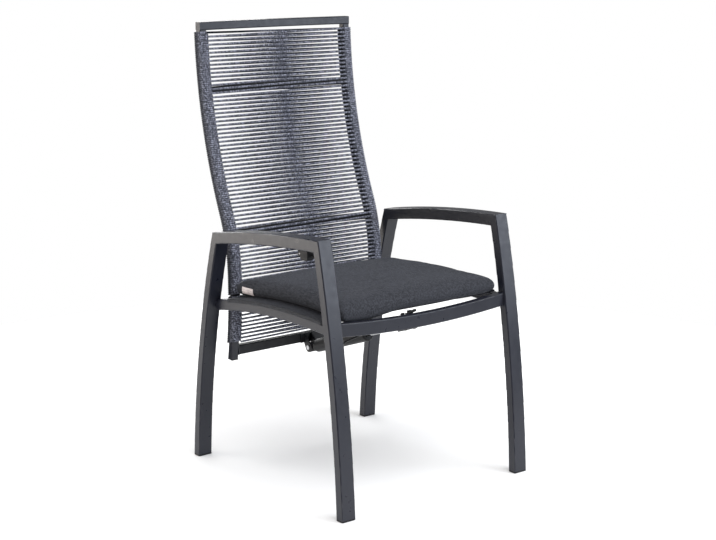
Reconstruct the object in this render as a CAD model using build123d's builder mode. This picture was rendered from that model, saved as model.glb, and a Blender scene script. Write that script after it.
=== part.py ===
"""Reclining garden armchair: two bent-tube side frames, a sling seat with a loose cushion, and a tall
rope-wound back that tips on two bolts and is held by a lockable gas spring under the seat.

The chair faces -Y and +Z is up. It is drawn about the middle of its feet, and each finished piece is moved so
that the origin is on the ground under the middle of the whole chair.
Left and right are those of a person who sits in it, so left is +X. Lengths are in millimetres."""
import os
from math import asin, ceil, cos, floor, hypot, pi, radians, sin, sqrt

from build123d import *

# Side frames: a front leg, an armrest and a rear leg of bent tube, mitred together
frame_width = 600.0
tube_width = 40.0
leg_depth = 24.0
arm_depth = 30.0
tube_wall = 2.0
tube_round = 2.5
front_foot = (-321.0, 0.0)
rear_foot = (321.0, 0.0)
arm_front = (-230.0, 661.0)
arm_rear = (214.0, 616.0)
front_leg_bow = 15.0
rear_leg_bow = 19.0
arm_bow = 8.0

# Foot glides: a plate under each leg with a stem up its bore
glide_plate = 4.0
glide_stem = 18.0
glide_edge = 1.0

# Seat frame
rail_width = 22.0
rail_height = 28.0
rail_setback = 24.0
rail_front = (-244.0, 430.0)
rail_rear = (219.5, 409.5)
rail_bow = 15.5
rail_wall = 2.0
front_rail_depth = 20.0
front_rail_height = 33.0
front_rail_top = 465.0
front_rail_dip = 12.5
cross_tube_size = 25.0
cross_tube_setback = 39.5
cross_tube_rear = rail_rear[0] - cross_tube_setback
cross_tube_bottom = 418.0
boss_diameter = 20.0
boss_place = (230.4, 421.0)
frame_bolt_diameter = 8.0
frame_bolt_bite = 15.0
frame_bolt_edge = 7.0
bolt_head_share = 1.6
bolt_head_height = 5.0
socket_share = 0.55

# Seat sling: one sheet of mesh fabric over both side rails, with a rolled hem at each end
sling_thickness = 2.5
sling_front = -214.0
sling_rear = 184.0
sling_overhang = 1.6
sling_wrap = 7.0
hem_diameter = 6.0

# Seat cushion
cushion_side_room = 5.0
cushion_front = -257.0
cushion_rear = 197.0
cushion_thickness = 38.0
cushion_crown = 9.0
cushion_side_pull = 6.0
cushion_edge_round = 26.0
cushion_gap = 0.4
label_width = 44.0
label_height = 18.0
label_thickness = 0.8
label_place = (137.0, 16.0)

# Back frame: its centre line runs through three arcs, given by the lean from upright at their ends
back_start = 232.0
back_heights = (268.0, 497.0, 649.0, 1133.0)
back_leans = (-9.0, 1.5, 23.0, 1.0)
back_tube_width = 20.0
back_tube_depth = 20.0
back_side_gap = 13.0
back_tube_wall = 1.8
back_plug = 3.0
back_plug_stem = 14.0
top_rail_height = 21.0
top_rail_bow = 15.0
bottom_rail_height = 25.0
bottom_rail_low = 282.0
bar_height = 18.0
bar_depth = 14.0
bar_bow = 16.0
upper_bar_low = 950.0
lower_bar_low = 591.0

# Rope: wound round both tubes, row over row, from the bottom rail to just under the top rail
rope_diameter = 4.7
rope_gap = 0.1
rope_bottom_gap = 5.0
rope_top_gap = 9.0
rope_rows = 76
rope_open_share = 0.54

# Back pivot: shoulder bolts through bushes in the back tubes, screwed into the side rails
pivot_place = (216.5, 430.0)
pivot_shoulder = 10.0
pivot_thread = 8.0
pivot_thread_length = 9.0
pivot_play = 0.05
pivot_head = 15.0
pivot_head_height = 5.0
bush_outer = 14.0
bush_flange = 16.0
bush_lip = 2.0
bush_play = 0.3

# Lockable gas spring, from a bracket behind the front rail to one on the back's bottom rail
spring_front = (-205.0, 412.0)
spring_back = (196.0, 272.0)
cylinder_diameter = 36.0
cylinder_front = 171.0
cylinder_wall = 2.5
cylinder_shoulder = 5.0
chamber_length = 122.0
gland_length = 20.0
gland_lip = 3.0
rod_diameter = 12.0
rod_play = 0.1
rod_inside = 34.0
piston_length = 9.0
piston_play = 0.3
spring_pin = 8.0
spring_pin_play = 0.05
spring_pin_head = 12.0
spring_pin_lip = 2.5
eye_outer = 26.0
eye_width = 16.0
eye_slack = 2.8
eye_neck = 26.0
eye_neck_diameter = 14.0
plate_thickness = 4.0
plate_round = 13.0
plate_gap = 0.5
foot_plate_thickness = 3.0
foot_plate_width = 46.0
front_plate_low = 424.0
front_plate_height = 24.0

# Release head on the rod's front end, with the bell crank that presses the valve pin
head_width = 24.0
head_front = 14.0
head_rear = 36.0
head_slot = 8.0
crank_width = 6.0
crank_pivot = (17.0, 18.0)
crank_pivot_pin = 4.0
crank_round = 5.0
crank_heel = 14.0
crank_toe = 20.0
crank_toe_width = 4.0
valve_pin_diameter = 4.0
valve_pin_start = 19.5
valve_pin_end = 60.0
pin_travel_room = 4.0
valve_play = 0.2
rod_seat = 10.0
cable_lug = (-12.0, 4.0)
cable_lug_width = 12.0
cable_lug_top = 35.0
wire_height = 29.0
wire_diameter = 1.5
wire_play = 0.8
wire_end_diameter = 5.0
wire_end_length = 4.0
wire_inside = 7.0

# Release lever in its housing under the front of the right armrest
housing_width = 24.0
housing_front = -180.0
housing_rear = -140.0
housing_low = 613.0
housing_wall = 2.5
lever_width = 17.0
lever_low = 603.0
lever_pivot = (-147.5, 618.0)
lever_pin = 3.0
lever_tip = -173.0
lever_depth = 9.0
lever_round = 4.0

# Release cable: down inside the right front leg, then behind the front rail to the release head
leg_middle = (frame_width - tube_width) / 2
cable_diameter = 4.0
cable_hole = 8.0
cable_route = (
    (-leg_middle, -181.5, 618.5),
    (-leg_middle, -232.0, 590.0),
    (-leg_middle, -243.0, 543.0),
    (-leg_middle, -252.0, 498.0),
    (-leg_middle, -260.0, 455.0),
    (-leg_middle, -264.0, 416.0),
    (-262.0, -247.0, 398.0),
    (-222.0, -228.0, 408.0),
    (-172.0, -233.0, 420.0),
    (-122.0, -239.0, 428.0),
    (-80.0, -238.0, 434.0),
    (-46.0, -237.0, 444.5),
    (-12.0, -239.0, 458.0),
    (0.0, -231.3, 451.9),
    (0.0, -215.3, 446.3),
)
ferrule_diameter = 7.0
ferrule_bore = 2.5
ferrule_length = 9.0
clip_stretch = slice(8, 10)
clip_width = 8.0
clip_wall = 1.6
cable_bend_share = 0.45

overrun = 2.0


def bowed_arc(start, end, bow):
    """Centre and radius of the arc from start to end that bulges by bow to the left of its chord."""
    along, rise = end[0] - start[0], end[1] - start[1]
    chord = hypot(along, rise)
    radius = chord * chord / (8 * bow) + bow / 2
    reach = radius - bow
    middle = ((start[0] + end[0]) / 2, (start[1] + end[1]) / 2)
    return (middle[0] + rise / chord * reach, middle[1] - along / chord * reach), radius


def height_on(arc, inset, place):
    """Point of the arc's upper half above a place, the arc drawn in by inset."""
    (centre_y, centre_z), radius = arc
    drawn = radius - inset
    return place, centre_z + sqrt(drawn * drawn - (place - centre_y) ** 2)


def reach_on(arc, inset, height, side):
    """Point of the arc at a height, on its side towards -Y (-1) or +Y (+1), drawn in by inset."""
    (centre_y, centre_z), radius = arc
    drawn = radius - inset
    return centre_y + side * sqrt(drawn * drawn - (height - centre_z) ** 2), height


def crossing(first, first_inset, second, second_inset, near):
    """Where two drawn-in arcs cross, the point nearest to near."""
    (y1, z1), radius1 = first
    (y2, z2), radius2 = second
    r1, r2 = radius1 - first_inset, radius2 - second_inset
    apart = hypot(y2 - y1, z2 - z1)
    foot = (r1 * r1 - r2 * r2 + apart * apart) / (2 * apart)
    rise = sqrt(r1 * r1 - foot * foot)
    along = ((y2 - y1) / apart, (z2 - z1) / apart)
    base = (y1 + along[0] * foot, z1 + along[1] * foot)
    points = [(base[0] - s * along[1] * rise, base[1] + s * along[0] * rise) for s in (-1, 1)]
    return min(points, key=lambda p: hypot(p[0] - near[0], p[1] - near[1]))


def halfway(first, second):
    """Middle of two numbers."""
    return (first + second) / 2


front_leg_arc = bowed_arc(front_foot, arm_front, front_leg_bow)
rear_leg_arc = bowed_arc(arm_rear, rear_foot, rear_leg_bow)
arm_arc = bowed_arc(arm_front, arm_rear, arm_bow)
rail_arc = bowed_arc(rail_front, rail_rear, rail_bow)
half_width = frame_width / 2
leg_inner = half_width - tube_width
rail_outer = half_width - rail_setback
rail_inner = rail_outer - rail_width
frame_bolt_place = rail_outer - frame_bolt_edge
sides = (("left", 1), ("right", -1))
bolt_head_radius = frame_bolt_diameter * bolt_head_share / 2
bolt_start = reach_on(rear_leg_arc, 0, boss_place[1] - bolt_head_radius, 1)[0]


def side_plane(side, inner, outer):
    """Upright plane across X where a piece between two distances from the middle starts, and its width."""
    return Plane.YZ.offset(inner if side > 0 else -outer), outer - inner


def leg_profile(arc, end, top, inset, low, past=0):
    """Outline of a leg from the side: end is -1 for the front leg, +1 for the rear one, and the outline runs
    past the mitre by past."""
    outer_top = crossing(arc, inset, arm_arc, inset - past, top)
    inner_top = crossing(arc, leg_depth - inset, arm_arc, arm_depth - inset - past, top)
    outer_foot = reach_on(arc, inset, low, end)
    inner_foot = reach_on(arc, leg_depth - inset, low, end)
    with BuildLine() as outline:
        ThreePointArc(outer_foot, reach_on(arc, inset, halfway(low, outer_top[1]), end), outer_top)
        Line(outer_top, inner_top)
        inner_middle = reach_on(arc, leg_depth - inset, halfway(low, inner_top[1]), end)
        ThreePointArc(inner_top, inner_middle, inner_foot)
        Line(inner_foot, outer_foot)
    return outline.edges()


def arm_profile(inset, past=0):
    """Outline of an armrest from the side, which runs past both mitres by past."""
    outer, inner = inset - past, leg_depth - inset - past
    front_outer = crossing(front_leg_arc, outer, arm_arc, inset, arm_front)
    front_inner = crossing(front_leg_arc, inner, arm_arc, arm_depth - inset, arm_front)
    rear_outer = crossing(rear_leg_arc, outer, arm_arc, inset, arm_rear)
    rear_inner = crossing(rear_leg_arc, inner, arm_arc, arm_depth - inset, arm_rear)
    with BuildLine() as outline:
        ThreePointArc(front_outer, height_on(arm_arc, inset, 0), rear_outer)
        Line(rear_outer, rear_inner)
        ThreePointArc(rear_inner, height_on(arm_arc, arm_depth - inset, 0), front_inner)
        Line(front_inner, front_outer)
    return outline.edges()


def back_centres():
    """The back's centre line as arcs: centre, signed radius and lean at both ends of each."""
    arcs = []
    place = back_start
    for count in range(3):
        low, high = back_heights[count], back_heights[count + 1]
        lean_low, lean_high = radians(back_leans[count]), radians(back_leans[count + 1])
        radius = (high - low) / (sin(lean_high) - sin(lean_low))
        centre = (place + radius * cos(lean_low), low - radius * sin(lean_low))
        arcs.append((centre, radius, lean_low, lean_high))
        place = centre[0] - radius * cos(lean_high)
    return arcs


def back_point(arc, lean, offset):
    """Point of one arc of the back at a lean, moved to the rear by offset."""
    (centre_y, centre_z), radius, _, _ = arc
    reach = radius - offset
    return centre_y - reach * cos(lean), centre_z + reach * sin(lean)


def back_edges(offset, low, high):
    """Arcs of the back's line, moved to the rear by offset, between two heights, as point triples."""
    triples = []
    for arc in back_centres():
        (_, centre_z), radius, lean_low, lean_high = arc
        arc_low, arc_high = back_point(arc, lean_low, offset)[1], back_point(arc, lean_high, offset)[1]
        if low < arc_high and high > arc_low:
            start = lean_low if low < arc_low else asin((low - centre_z) / (radius - offset))
            stop = lean_high if high > arc_high else asin((high - centre_z) / (radius - offset))
            triples.append([back_point(arc, lean, offset) for lean in (start, halfway(start, stop), stop)])
    return triples


def back_place(offset, height):
    """Where the back's line, moved to the rear by offset, stands at a height."""
    return back_edges(offset, height, height + overrun)[0][0][0]


def back_profile(front, rear, low, high):
    """Outline of a band of the back from the side, between two offsets and two heights."""
    rear_edges = back_edges(rear, low, high)
    front_edges = back_edges(front, low, high)
    with BuildLine() as outline:
        for triple in rear_edges:
            ThreePointArc(*triple)
        Line(rear_edges[-1][-1], front_edges[-1][-1])
        for triple in reversed(front_edges):
            ThreePointArc(*reversed(triple))
        Line(front_edges[0][0], rear_edges[0][0])
    return outline.edges()


def rail_profile(low, high, front, rear):
    """Outline of a band over the side rails' lower line from the side, between two heights above it."""
    with BuildLine() as outline:
        middle = halfway(front, rear)
        ThreePointArc(height_on(rail_arc, -low, front), height_on(rail_arc, -low, middle),
                      height_on(rail_arc, -low, rear))
        Line(height_on(rail_arc, -low, rear), height_on(rail_arc, -high, rear))
        ThreePointArc(height_on(rail_arc, -high, rear), height_on(rail_arc, -high, middle),
                      height_on(rail_arc, -high, front))
        Line(height_on(rail_arc, -high, front), height_on(rail_arc, -low, front))
    return outline.edges()


def bolt_hole(side):
    """Hole of the bolt that runs forward from a rear leg's outer face, through the boss, into the side rail."""
    with BuildPart() as hole:
        with BuildSketch(Plane(origin=(side * frame_bolt_place, bolt_start, boss_place[1]), z_dir=(0, -1, 0))):
            Circle(frame_bolt_diameter / 2)
        extrude(amount=bolt_start - boss_place[0] + boss_diameter / 2 + frame_bolt_bite)
    return hole.part


def long_edges(part):
    """The arc-shaped edges that run along a bent tube."""
    return part.edges().filter_by(GeomType.CIRCLE)


def finish(piece, label):
    """Bring a finished piece into the chair's own frame, label it and write it."""
    piece = piece.moved(Location((0, -origin_shift, 0)))
    piece.label = label
    export_step(piece, f"parts/{label}.step")


back_low, back_high = back_heights[0] + back_plug, back_heights[-1] - top_rail_height
top_place = back_place(0, back_high)
chair_front = reach_on(front_leg_arc, 0, glide_plate, -1)[0]
chair_rear = top_place + back_tube_depth / 2 + top_rail_bow
origin_shift = halfway(chair_front, chair_rear)
print("origin shift", round(origin_shift, 3))
os.makedirs("parts", exist_ok=True)

# Cable route as straight runs joined by arcs, used for the cable and for the holes that it passes
runs = [(Vector(b) - Vector(a)) for a, b in zip(cable_route, cable_route[1:])]
bends = []
for before, after in zip(runs, runs[1:]):
    half_turn = radians(before.get_angle(after)) / 2
    shorter = min(before.length, after.length)
    bends.append(cable_bend_share * shorter * cos(half_turn) / sin(half_turn))
print("cable bend radii", [round(bend, 1) for bend in bends])
with BuildLine() as cable_line:
    FilletPolyline(*cable_route, radius=bends)
cable_start = Plane(origin=cable_route[0], z_dir=runs[0])
cable_path = cable_line.wires()[0]
print("cable length", round(cable_path.length, 1))

with BuildPart() as cable_passage:
    with BuildSketch(cable_start):
        Circle(cable_hole / 2)
    sweep(path=cable_path)

# Legs, hollow and open at the foot, the right front one with a hole for the cable at each end
legs = {}
for side_name, side in sides:
    for end_name, end, arc, top in (("front", -1, front_leg_arc, arm_front), ("rear", 1, rear_leg_arc, arm_rear)):
        plane, width = side_plane(side, leg_inner, half_width)
        with BuildPart() as leg:
            with BuildSketch(plane):
                make_face(leg_profile(arc, end, top, 0, glide_plate))
            extrude(amount=width)
            fillet(long_edges(leg), tube_round)
            with BuildSketch(plane.offset(tube_wall)):
                make_face(leg_profile(arc, end, top, tube_wall, glide_plate - overrun, overrun))
            extrude(amount=width - 2 * tube_wall, mode=Mode.SUBTRACT)
            if end_name == "front" and side_name == "right":
                add(cable_passage.part, mode=Mode.SUBTRACT)
            if end_name == "rear":
                add(bolt_hole(side), mode=Mode.SUBTRACT)
        legs[end_name, side_name] = leg.part
        finish(leg.part, f"{end_name}_leg_{side_name}")

# Armrests, open into both legs at the mitres
for side_name, side in sides:
    plane, width = side_plane(side, leg_inner, half_width)
    with BuildPart() as armrest:
        with BuildSketch(plane):
            make_face(arm_profile(0))
        extrude(amount=width)
        fillet(long_edges(armrest), tube_round)
        with BuildSketch(plane.offset(tube_wall)):
            make_face(arm_profile(tube_wall, overrun))
        extrude(amount=width - 2 * tube_wall, mode=Mode.SUBTRACT)
    finish(armrest.part, f"armrest_{side_name}")

# Foot glides: a plate of the tube's outline and a stem that fills its bore
for side_name, side in sides:
    for end_name, end, arc in (("front", -1, front_leg_arc), ("rear", 1, rear_leg_arc)):
        outer_foot = reach_on(arc, 0, glide_plate, end)[0]
        inner_foot = reach_on(arc, leg_depth, glide_plate, end)[0]
        centre = (side * (half_width - tube_width / 2), halfway(outer_foot, inner_foot))
        stem_top = reach_on(arc, leg_depth / 2, glide_plate + glide_stem, end)[0]
        with BuildPart() as glide:
            with BuildSketch():
                with Locations(centre):
                    RectangleRounded(tube_width, leg_depth, tube_round)
            extrude(amount=glide_plate)
            chamfer(glide.faces().sort_by(Axis.Z)[0].edges(), glide_edge)
            with BuildSketch(Plane.XY.offset(glide_plate)) as foot_of_stem:
                with Locations(centre):
                    Rectangle(tube_width - 2 * tube_wall - glide_edge, leg_depth - 2 * tube_wall - glide_edge)
            with BuildSketch(Plane.XY.offset(glide_plate + glide_stem)) as top_of_stem:
                with Locations((centre[0], stem_top)):
                    Rectangle(
                        tube_width - 2 * tube_wall - glide_edge,
                        leg_depth - 2 * tube_wall - 2 * glide_edge)
            loft([foot_of_stem.sketch, top_of_stem.sketch])
        finish(glide.part, f"foot_glide_{end_name}_{side_name}")

# Side rails: arched tube, coped over the boss at the rear and cut to the front leg's rear face
for side_name, side in sides:
    plane, width = side_plane(side, rail_inner, rail_outer)
    with BuildPart() as side_rail:
        with BuildSketch(plane):
            make_face(rail_profile(0, rail_height, rail_front[0], boss_place[0]))
        extrude(amount=width)
        fillet(long_edges(side_rail), tube_round)
        with BuildSketch(plane.offset(rail_wall)):
            hollow_ends = (rail_front[0] + rail_width, pivot_place[0] - bush_flange)
            make_face(rail_profile(rail_wall, rail_height - rail_wall, *hollow_ends))
        extrude(amount=width - 2 * rail_wall, mode=Mode.SUBTRACT)
        with BuildSketch(plane):
            with Locations(boss_place):
                Circle(boss_diameter / 2)
        extrude(amount=width, mode=Mode.SUBTRACT)
        with BuildSketch(plane):
            with Locations((boss_place[0] + boss_diameter / 2, boss_place[1])):
                Rectangle(boss_diameter, 2 * rail_height)
        extrude(amount=width, mode=Mode.SUBTRACT)
        with BuildSketch(Plane(origin=(side * rail_inner, *pivot_place), z_dir=(side, 0, 0))):
            Circle(pivot_thread / 2)
        extrude(amount=pivot_thread_length, mode=Mode.SUBTRACT)
        add(bolt_hole(side), mode=Mode.SUBTRACT)
        add(legs["front", side_name], mode=Mode.SUBTRACT)
    finish(side_rail.solids().sort_by(SortBy.VOLUME)[-1], f"seat_side_rail_{side_name}")

# Front rail, bent down in the middle, clear of the sling
front_rail_low = front_rail_top - front_rail_height


def front_rail_profile(inset):
    """Outline of the front rail from the front."""
    high, low = front_rail_top - inset, front_rail_low + inset
    with BuildLine() as outline:
        ThreePointArc((-leg_inner, high), (0, high - front_rail_dip), (leg_inner, high))
        Line((leg_inner, high), (leg_inner, low))
        ThreePointArc((leg_inner, low), (0, low - front_rail_dip), (-leg_inner, low))
        Line((-leg_inner, low), (-leg_inner, high))
    return outline.edges()


with BuildPart() as front_rail:
    with BuildSketch(Plane.XZ.offset(-rail_front[0])):
        make_face(front_rail_profile(0))
    extrude(amount=front_rail_depth)
    fillet(long_edges(front_rail), tube_round)
    with BuildSketch(Plane.XZ.offset(rail_wall - rail_front[0])):
        make_face(front_rail_profile(rail_wall))
    extrude(amount=front_rail_depth - 2 * rail_wall, mode=Mode.SUBTRACT)
finish(front_rail.part, "seat_front_rail")

# Rear cross tube between the side rails
with BuildPart() as cross_tube:
    with BuildSketch(Plane.YZ.offset(-rail_inner)):
        with Locations((cross_tube_rear - cross_tube_size / 2, cross_tube_bottom + cross_tube_size / 2)):
            RectangleRounded(cross_tube_size, cross_tube_size, tube_round)
            inside = cross_tube_size - 2 * rail_wall
            Rectangle(inside, inside, mode=Mode.SUBTRACT)
    extrude(amount=2 * rail_inner)
finish(cross_tube.part, "seat_cross_tube")

# Round bosses between the rear legs and the side rails, and the bolts that clamp all three
with BuildPart() as bosses:
    for side_name, side in sides:
        plane, width = side_plane(side, rail_inner, rail_outer)
        with BuildSketch(plane):
            with Locations(boss_place):
                Circle(boss_diameter / 2)
        extrude(amount=width)
        add(legs["rear", side_name], mode=Mode.SUBTRACT)
        add(bolt_hole(side), mode=Mode.SUBTRACT)
finish(bosses.part, "seat_rail_bosses")

with BuildPart() as frame_bolts:
    for side_name, side in sides:
        add(bolt_hole(side))
        start = Plane(origin=(side * frame_bolt_place, bolt_start, boss_place[1]), z_dir=(0, 1, 0))
        with BuildSketch(start):
            Circle(bolt_head_radius)
        extrude(amount=bolt_head_height)
        with BuildSketch(start.offset(bolt_head_height / 2)):
            RegularPolygon(frame_bolt_diameter * socket_share / 2, 6)
        extrude(amount=bolt_head_height / 2, mode=Mode.SUBTRACT)
finish(frame_bolts.part, "seat_frame_bolts")

# Sling: a sheet over the rails' tops that turns down over their outer faces, hemmed front and rear
sling_half = rail_outer + sling_overhang
sling_low = rail_height + cushion_gap
with BuildPart() as sling:
    with BuildSketch(Plane.YZ.offset(-sling_half)):
        make_face(rail_profile(sling_low, sling_low + sling_thickness, sling_front, sling_rear))
    extrude(amount=2 * sling_half)
    for side_name, side in sides:
        plane, width = side_plane(side, rail_outer + cushion_gap, sling_half)
        with BuildSketch(plane):
            lip_heights = (rail_height - sling_wrap, sling_low + sling_thickness)
            make_face(rail_profile(*lip_heights, sling_front, sling_rear))
        extrude(amount=width)
    for place in (sling_front, sling_rear):
        with BuildSketch(Plane.YZ.offset(-rail_inner + cushion_gap)):
            with Locations(height_on(rail_arc, -sling_low - sling_thickness + hem_diameter / 2, place)):
                Circle(hem_diameter / 2)
        extrude(amount=2 * rail_inner - 2 * cushion_gap)
finish(sling.part, "seat_sling")

# Seat cushion, lofted from front to rear: flat below, crowned above, its sides drawn in
cushion_base = sling_low + sling_thickness + cushion_gap
cushion_half = leg_inner - cushion_side_room
cushion_length = cushion_rear - cushion_front


def cushion_section(share):
    """Cross-section of the cushion at a share of its length from the front, with its plane."""
    place = cushion_front + share * cushion_length
    base = height_on(rail_arc, -cushion_base, max(place, sling_front))[1]
    from_end = min(share, 1 - share) * cushion_length
    roundness = sqrt(1 - max(0, 1 - from_end / cushion_edge_round) ** 2)
    side_share = 4 * share * (1 - share)
    half = cushion_half - cushion_side_pull * side_share - cushion_edge_round * (1 - roundness) / 2
    middle = cushion_thickness / 2
    low_edge, high_edge = middle * (1 - roundness) , middle + (cushion_thickness / 2 - cushion_gap) * roundness
    tuck = cushion_edge_round / 2 * roundness
    crown = high_edge + cushion_crown * sqrt(side_share) * roundness
    with BuildSketch(Plane.XZ.offset(-place)) as section:
        with BuildLine():
            Line((-half + tuck, base + low_edge), (half - tuck, base + low_edge))
            ThreePointArc((half - tuck, base + low_edge), (half, base + middle), (half - tuck, base + high_edge))
            ThreePointArc((half - tuck, base + high_edge), (0, base + crown), (-half + tuck, base + high_edge))
            ThreePointArc((-half + tuck, base + high_edge), (-half, base + middle), (-half + tuck, base + low_edge))
        make_face()
    return section.sketch


cushion_shares = (0.003, 0.02, 0.06, 0.2, 0.4, 0.6, 0.8, 0.94, 0.98, 0.997)
with BuildPart() as cushion:
    loft([cushion_section(share) for share in cushion_shares])
    with BuildSketch(Plane.YZ.offset(-half_width)):
        make_face(rail_profile(0, cushion_base + cushion_gap, sling_front - hem_diameter, cushion_rear))
    extrude(amount=frame_width, mode=Mode.SUBTRACT)
finish(cushion.part, "seat_cushion")

# Blank fabric tag on the cushion's right side, near the rear, shaped to the side that it lies on
label_share = (label_place[0] - cushion_front) / cushion_length
label_face = cushion_half - cushion_side_pull * 4 * label_share * (1 - label_share) + label_thickness
label_height_place = height_on(rail_arc, -cushion_base, label_place[0])[1] + label_place[1]
with BuildPart() as label:
    with BuildSketch(Plane.YZ.offset(-label_face)):
        with Locations((label_place[0], label_height_place)):
            Rectangle(label_width, label_height)
    extrude(amount=cushion_side_pull)
    add(cushion.part, mode=Mode.SUBTRACT)
finish(label.part, "cushion_label")

# Back tubes, hollow, with a bored seat for the pivot bush
tube_half = back_tube_depth / 2
back_tube_outer = rail_inner - back_side_gap
back_inner = back_tube_outer - back_tube_width
for side_name, side in sides:
    plane, width = side_plane(side, back_inner, back_tube_outer)
    with BuildPart() as back_tube:
        with BuildSketch(plane):
            make_face(back_profile(-tube_half, tube_half, back_low, back_high))
        extrude(amount=width)
        fillet(long_edges(back_tube), tube_round)
        with BuildSketch(plane.offset(back_tube_wall)):
            bore_half = tube_half - back_tube_wall
            make_face(back_profile(-bore_half, bore_half, back_low, back_high - back_tube_wall))
        extrude(amount=width - 2 * back_tube_wall, mode=Mode.SUBTRACT)
        with BuildSketch(plane):
            with Locations(pivot_place):
                Circle(bush_outer / 2)
        extrude(amount=width, mode=Mode.SUBTRACT)
    finish(back_tube.part, f"back_tube_{side_name}")

# End plugs of the back tubes
for side_name, side in sides:
    plug_plane, plug_width = side_plane(side, back_inner, back_tube_outer)
    bore = back_tube_wall + bush_play
    with BuildPart() as plug:
        with BuildSketch(plug_plane):
            make_face(back_profile(-tube_half, tube_half, back_heights[0], back_low))
        extrude(amount=plug_width)
        with BuildSketch(plug_plane.offset(bore)):
            stem_half = tube_half - bore
            make_face(back_profile(-stem_half, stem_half, back_low - glide_edge, back_low + back_plug_stem))
        extrude(amount=plug_width - 2 * bore)
        chamfer(plug.faces().sort_by(Axis.Z)[0].edges(), glide_edge)
    finish(plug.part, f"back_tube_plug_{side_name}")


def bar_profile(half_span, place, depth, bow, inset):
    """Plan outline of a bar that bows to the rear: place is its centre line at both ends."""
    rear, front = place + depth / 2 - inset, place - depth / 2 + inset
    with BuildLine() as outline:
        ThreePointArc((-half_span, rear), (0, rear + bow), (half_span, rear))
        Line((half_span, rear), (half_span, front))
        ThreePointArc((half_span, front), (0, front + bow), (-half_span, front))
        Line((-half_span, front), (-half_span, rear))
    return outline.edges()


def bowed_bar(half_span, bore_span, place, depth, bow, low, height):
    """Hollow bar between or over the back tubes, its bore as long as bore_span says."""
    with BuildPart() as bar:
        with BuildSketch(Plane.XY.offset(low)):
            make_face(bar_profile(half_span, place, depth, bow, 0))
        extrude(amount=height)
        fillet(long_edges(bar), tube_round)
        with BuildSketch(Plane.XY.offset(low + rail_wall)):
            make_face(bar_profile(half_span, place, depth, bow, rail_wall))
            with Locations((0, place)):
                Rectangle(2 * bore_span, 2 * (depth + bow), mode=Mode.INTERSECT)
        extrude(amount=height - 2 * rail_wall, mode=Mode.SUBTRACT)
    return bar.part


# Top rail over the tubes' ends, two bowed bars between them, and the straight bottom rail
top_rail = bowed_bar(
    back_tube_outer, back_inner, top_place, back_tube_depth, top_rail_bow, back_high, top_rail_height)
finish(top_rail, "back_top_rail")
for bar_name, bar_low in (("upper", upper_bar_low), ("lower", lower_bar_low)):
    bar_place = back_place(0, bar_low + bar_height / 2)
    bar = bowed_bar(back_inner, back_inner, bar_place, bar_depth, bar_bow, bar_low, bar_height)
    finish(bar, f"back_{bar_name}_bar")

bottom_place = back_place(0, bottom_rail_low + bottom_rail_height / 2)
with BuildPart() as bottom_rail:
    with BuildSketch(Plane.YZ.offset(-back_inner)):
        with Locations((bottom_place, bottom_rail_low + bottom_rail_height / 2)):
            RectangleRounded(back_tube_depth, bottom_rail_height, tube_round)
            inside = (back_tube_depth - 2 * rail_wall, bottom_rail_height - 2 * rail_wall)
            Rectangle(*inside, mode=Mode.SUBTRACT)
    extrude(amount=2 * back_inner)
finish(bottom_rail.part, "back_bottom_rail")

# Rope winding: front and rear layers and the sleeves round both tubes, with a gap between the rows
rope_room = tube_half + rope_gap
rope_front_face = rope_room + rope_diameter
rope_outer = back_tube_outer + rope_gap + rope_diameter
sleeve_inner = back_inner - rope_gap
rope_low = bottom_rail_low + bottom_rail_height + rope_bottom_gap
rope_high = back_high - rope_top_gap
row_pitch = (rope_high - rope_low) / (rope_rows + 1)
with BuildPart() as rope:
    with BuildSketch(Plane.YZ.offset(-rope_outer)):
        make_face(back_profile(-rope_front_face, rope_front_face, rope_low, rope_high))
    extrude(amount=2 * rope_outer)
    hollows = ((-sleeve_inner + rope_diameter, sleeve_inner - rope_diameter),
               (-back_tube_outer - rope_gap, -sleeve_inner), (sleeve_inner, back_tube_outer + rope_gap))
    for start, stop in hollows:
        with BuildSketch(Plane.YZ.offset(start)):
            make_face(back_profile(-rope_room, rope_room, rope_low - overrun, rope_high + overrun))
        extrude(amount=stop - start, mode=Mode.SUBTRACT)
    slot_width = 2 * (sleeve_inner - rope_diameter)
    with BuildSketch(Plane.XZ):
        for row in range(rope_rows):
            with Locations((0, rope_low + (row + 1) * row_pitch)):
                Rectangle(slot_width, row_pitch * rope_open_share)
    extrude(amount=-2 * back_heights[-1], mode=Mode.SUBTRACT)
    for side_name, side in sides:
        plane, width = side_plane(side, sleeve_inner - rope_diameter - overrun, rope_outer + overrun)
        with BuildSketch(plane):
            with Locations(pivot_place):
                Circle(bush_flange / 2 + bush_play)
        extrude(amount=width, mode=Mode.SUBTRACT)
    for bar_low in (upper_bar_low, lower_bar_low):
        bar_front = back_place(0, bar_low + bar_height / 2) - bar_depth / 2 - bush_play
        window_low = rope_low + floor((bar_low - rope_low) / row_pitch) * row_pitch
        window_high = rope_low + ceil((bar_low + bar_height - rope_low) / row_pitch) * row_pitch
        with BuildSketch(Plane.XY.offset(window_low)):
            with Locations((0, bar_front + rope_front_face)):
                Rectangle(2 * sleeve_inner, 2 * rope_front_face)
        extrude(amount=window_high - window_low, mode=Mode.SUBTRACT)
finish(rope.part, "back_rope")

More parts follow.
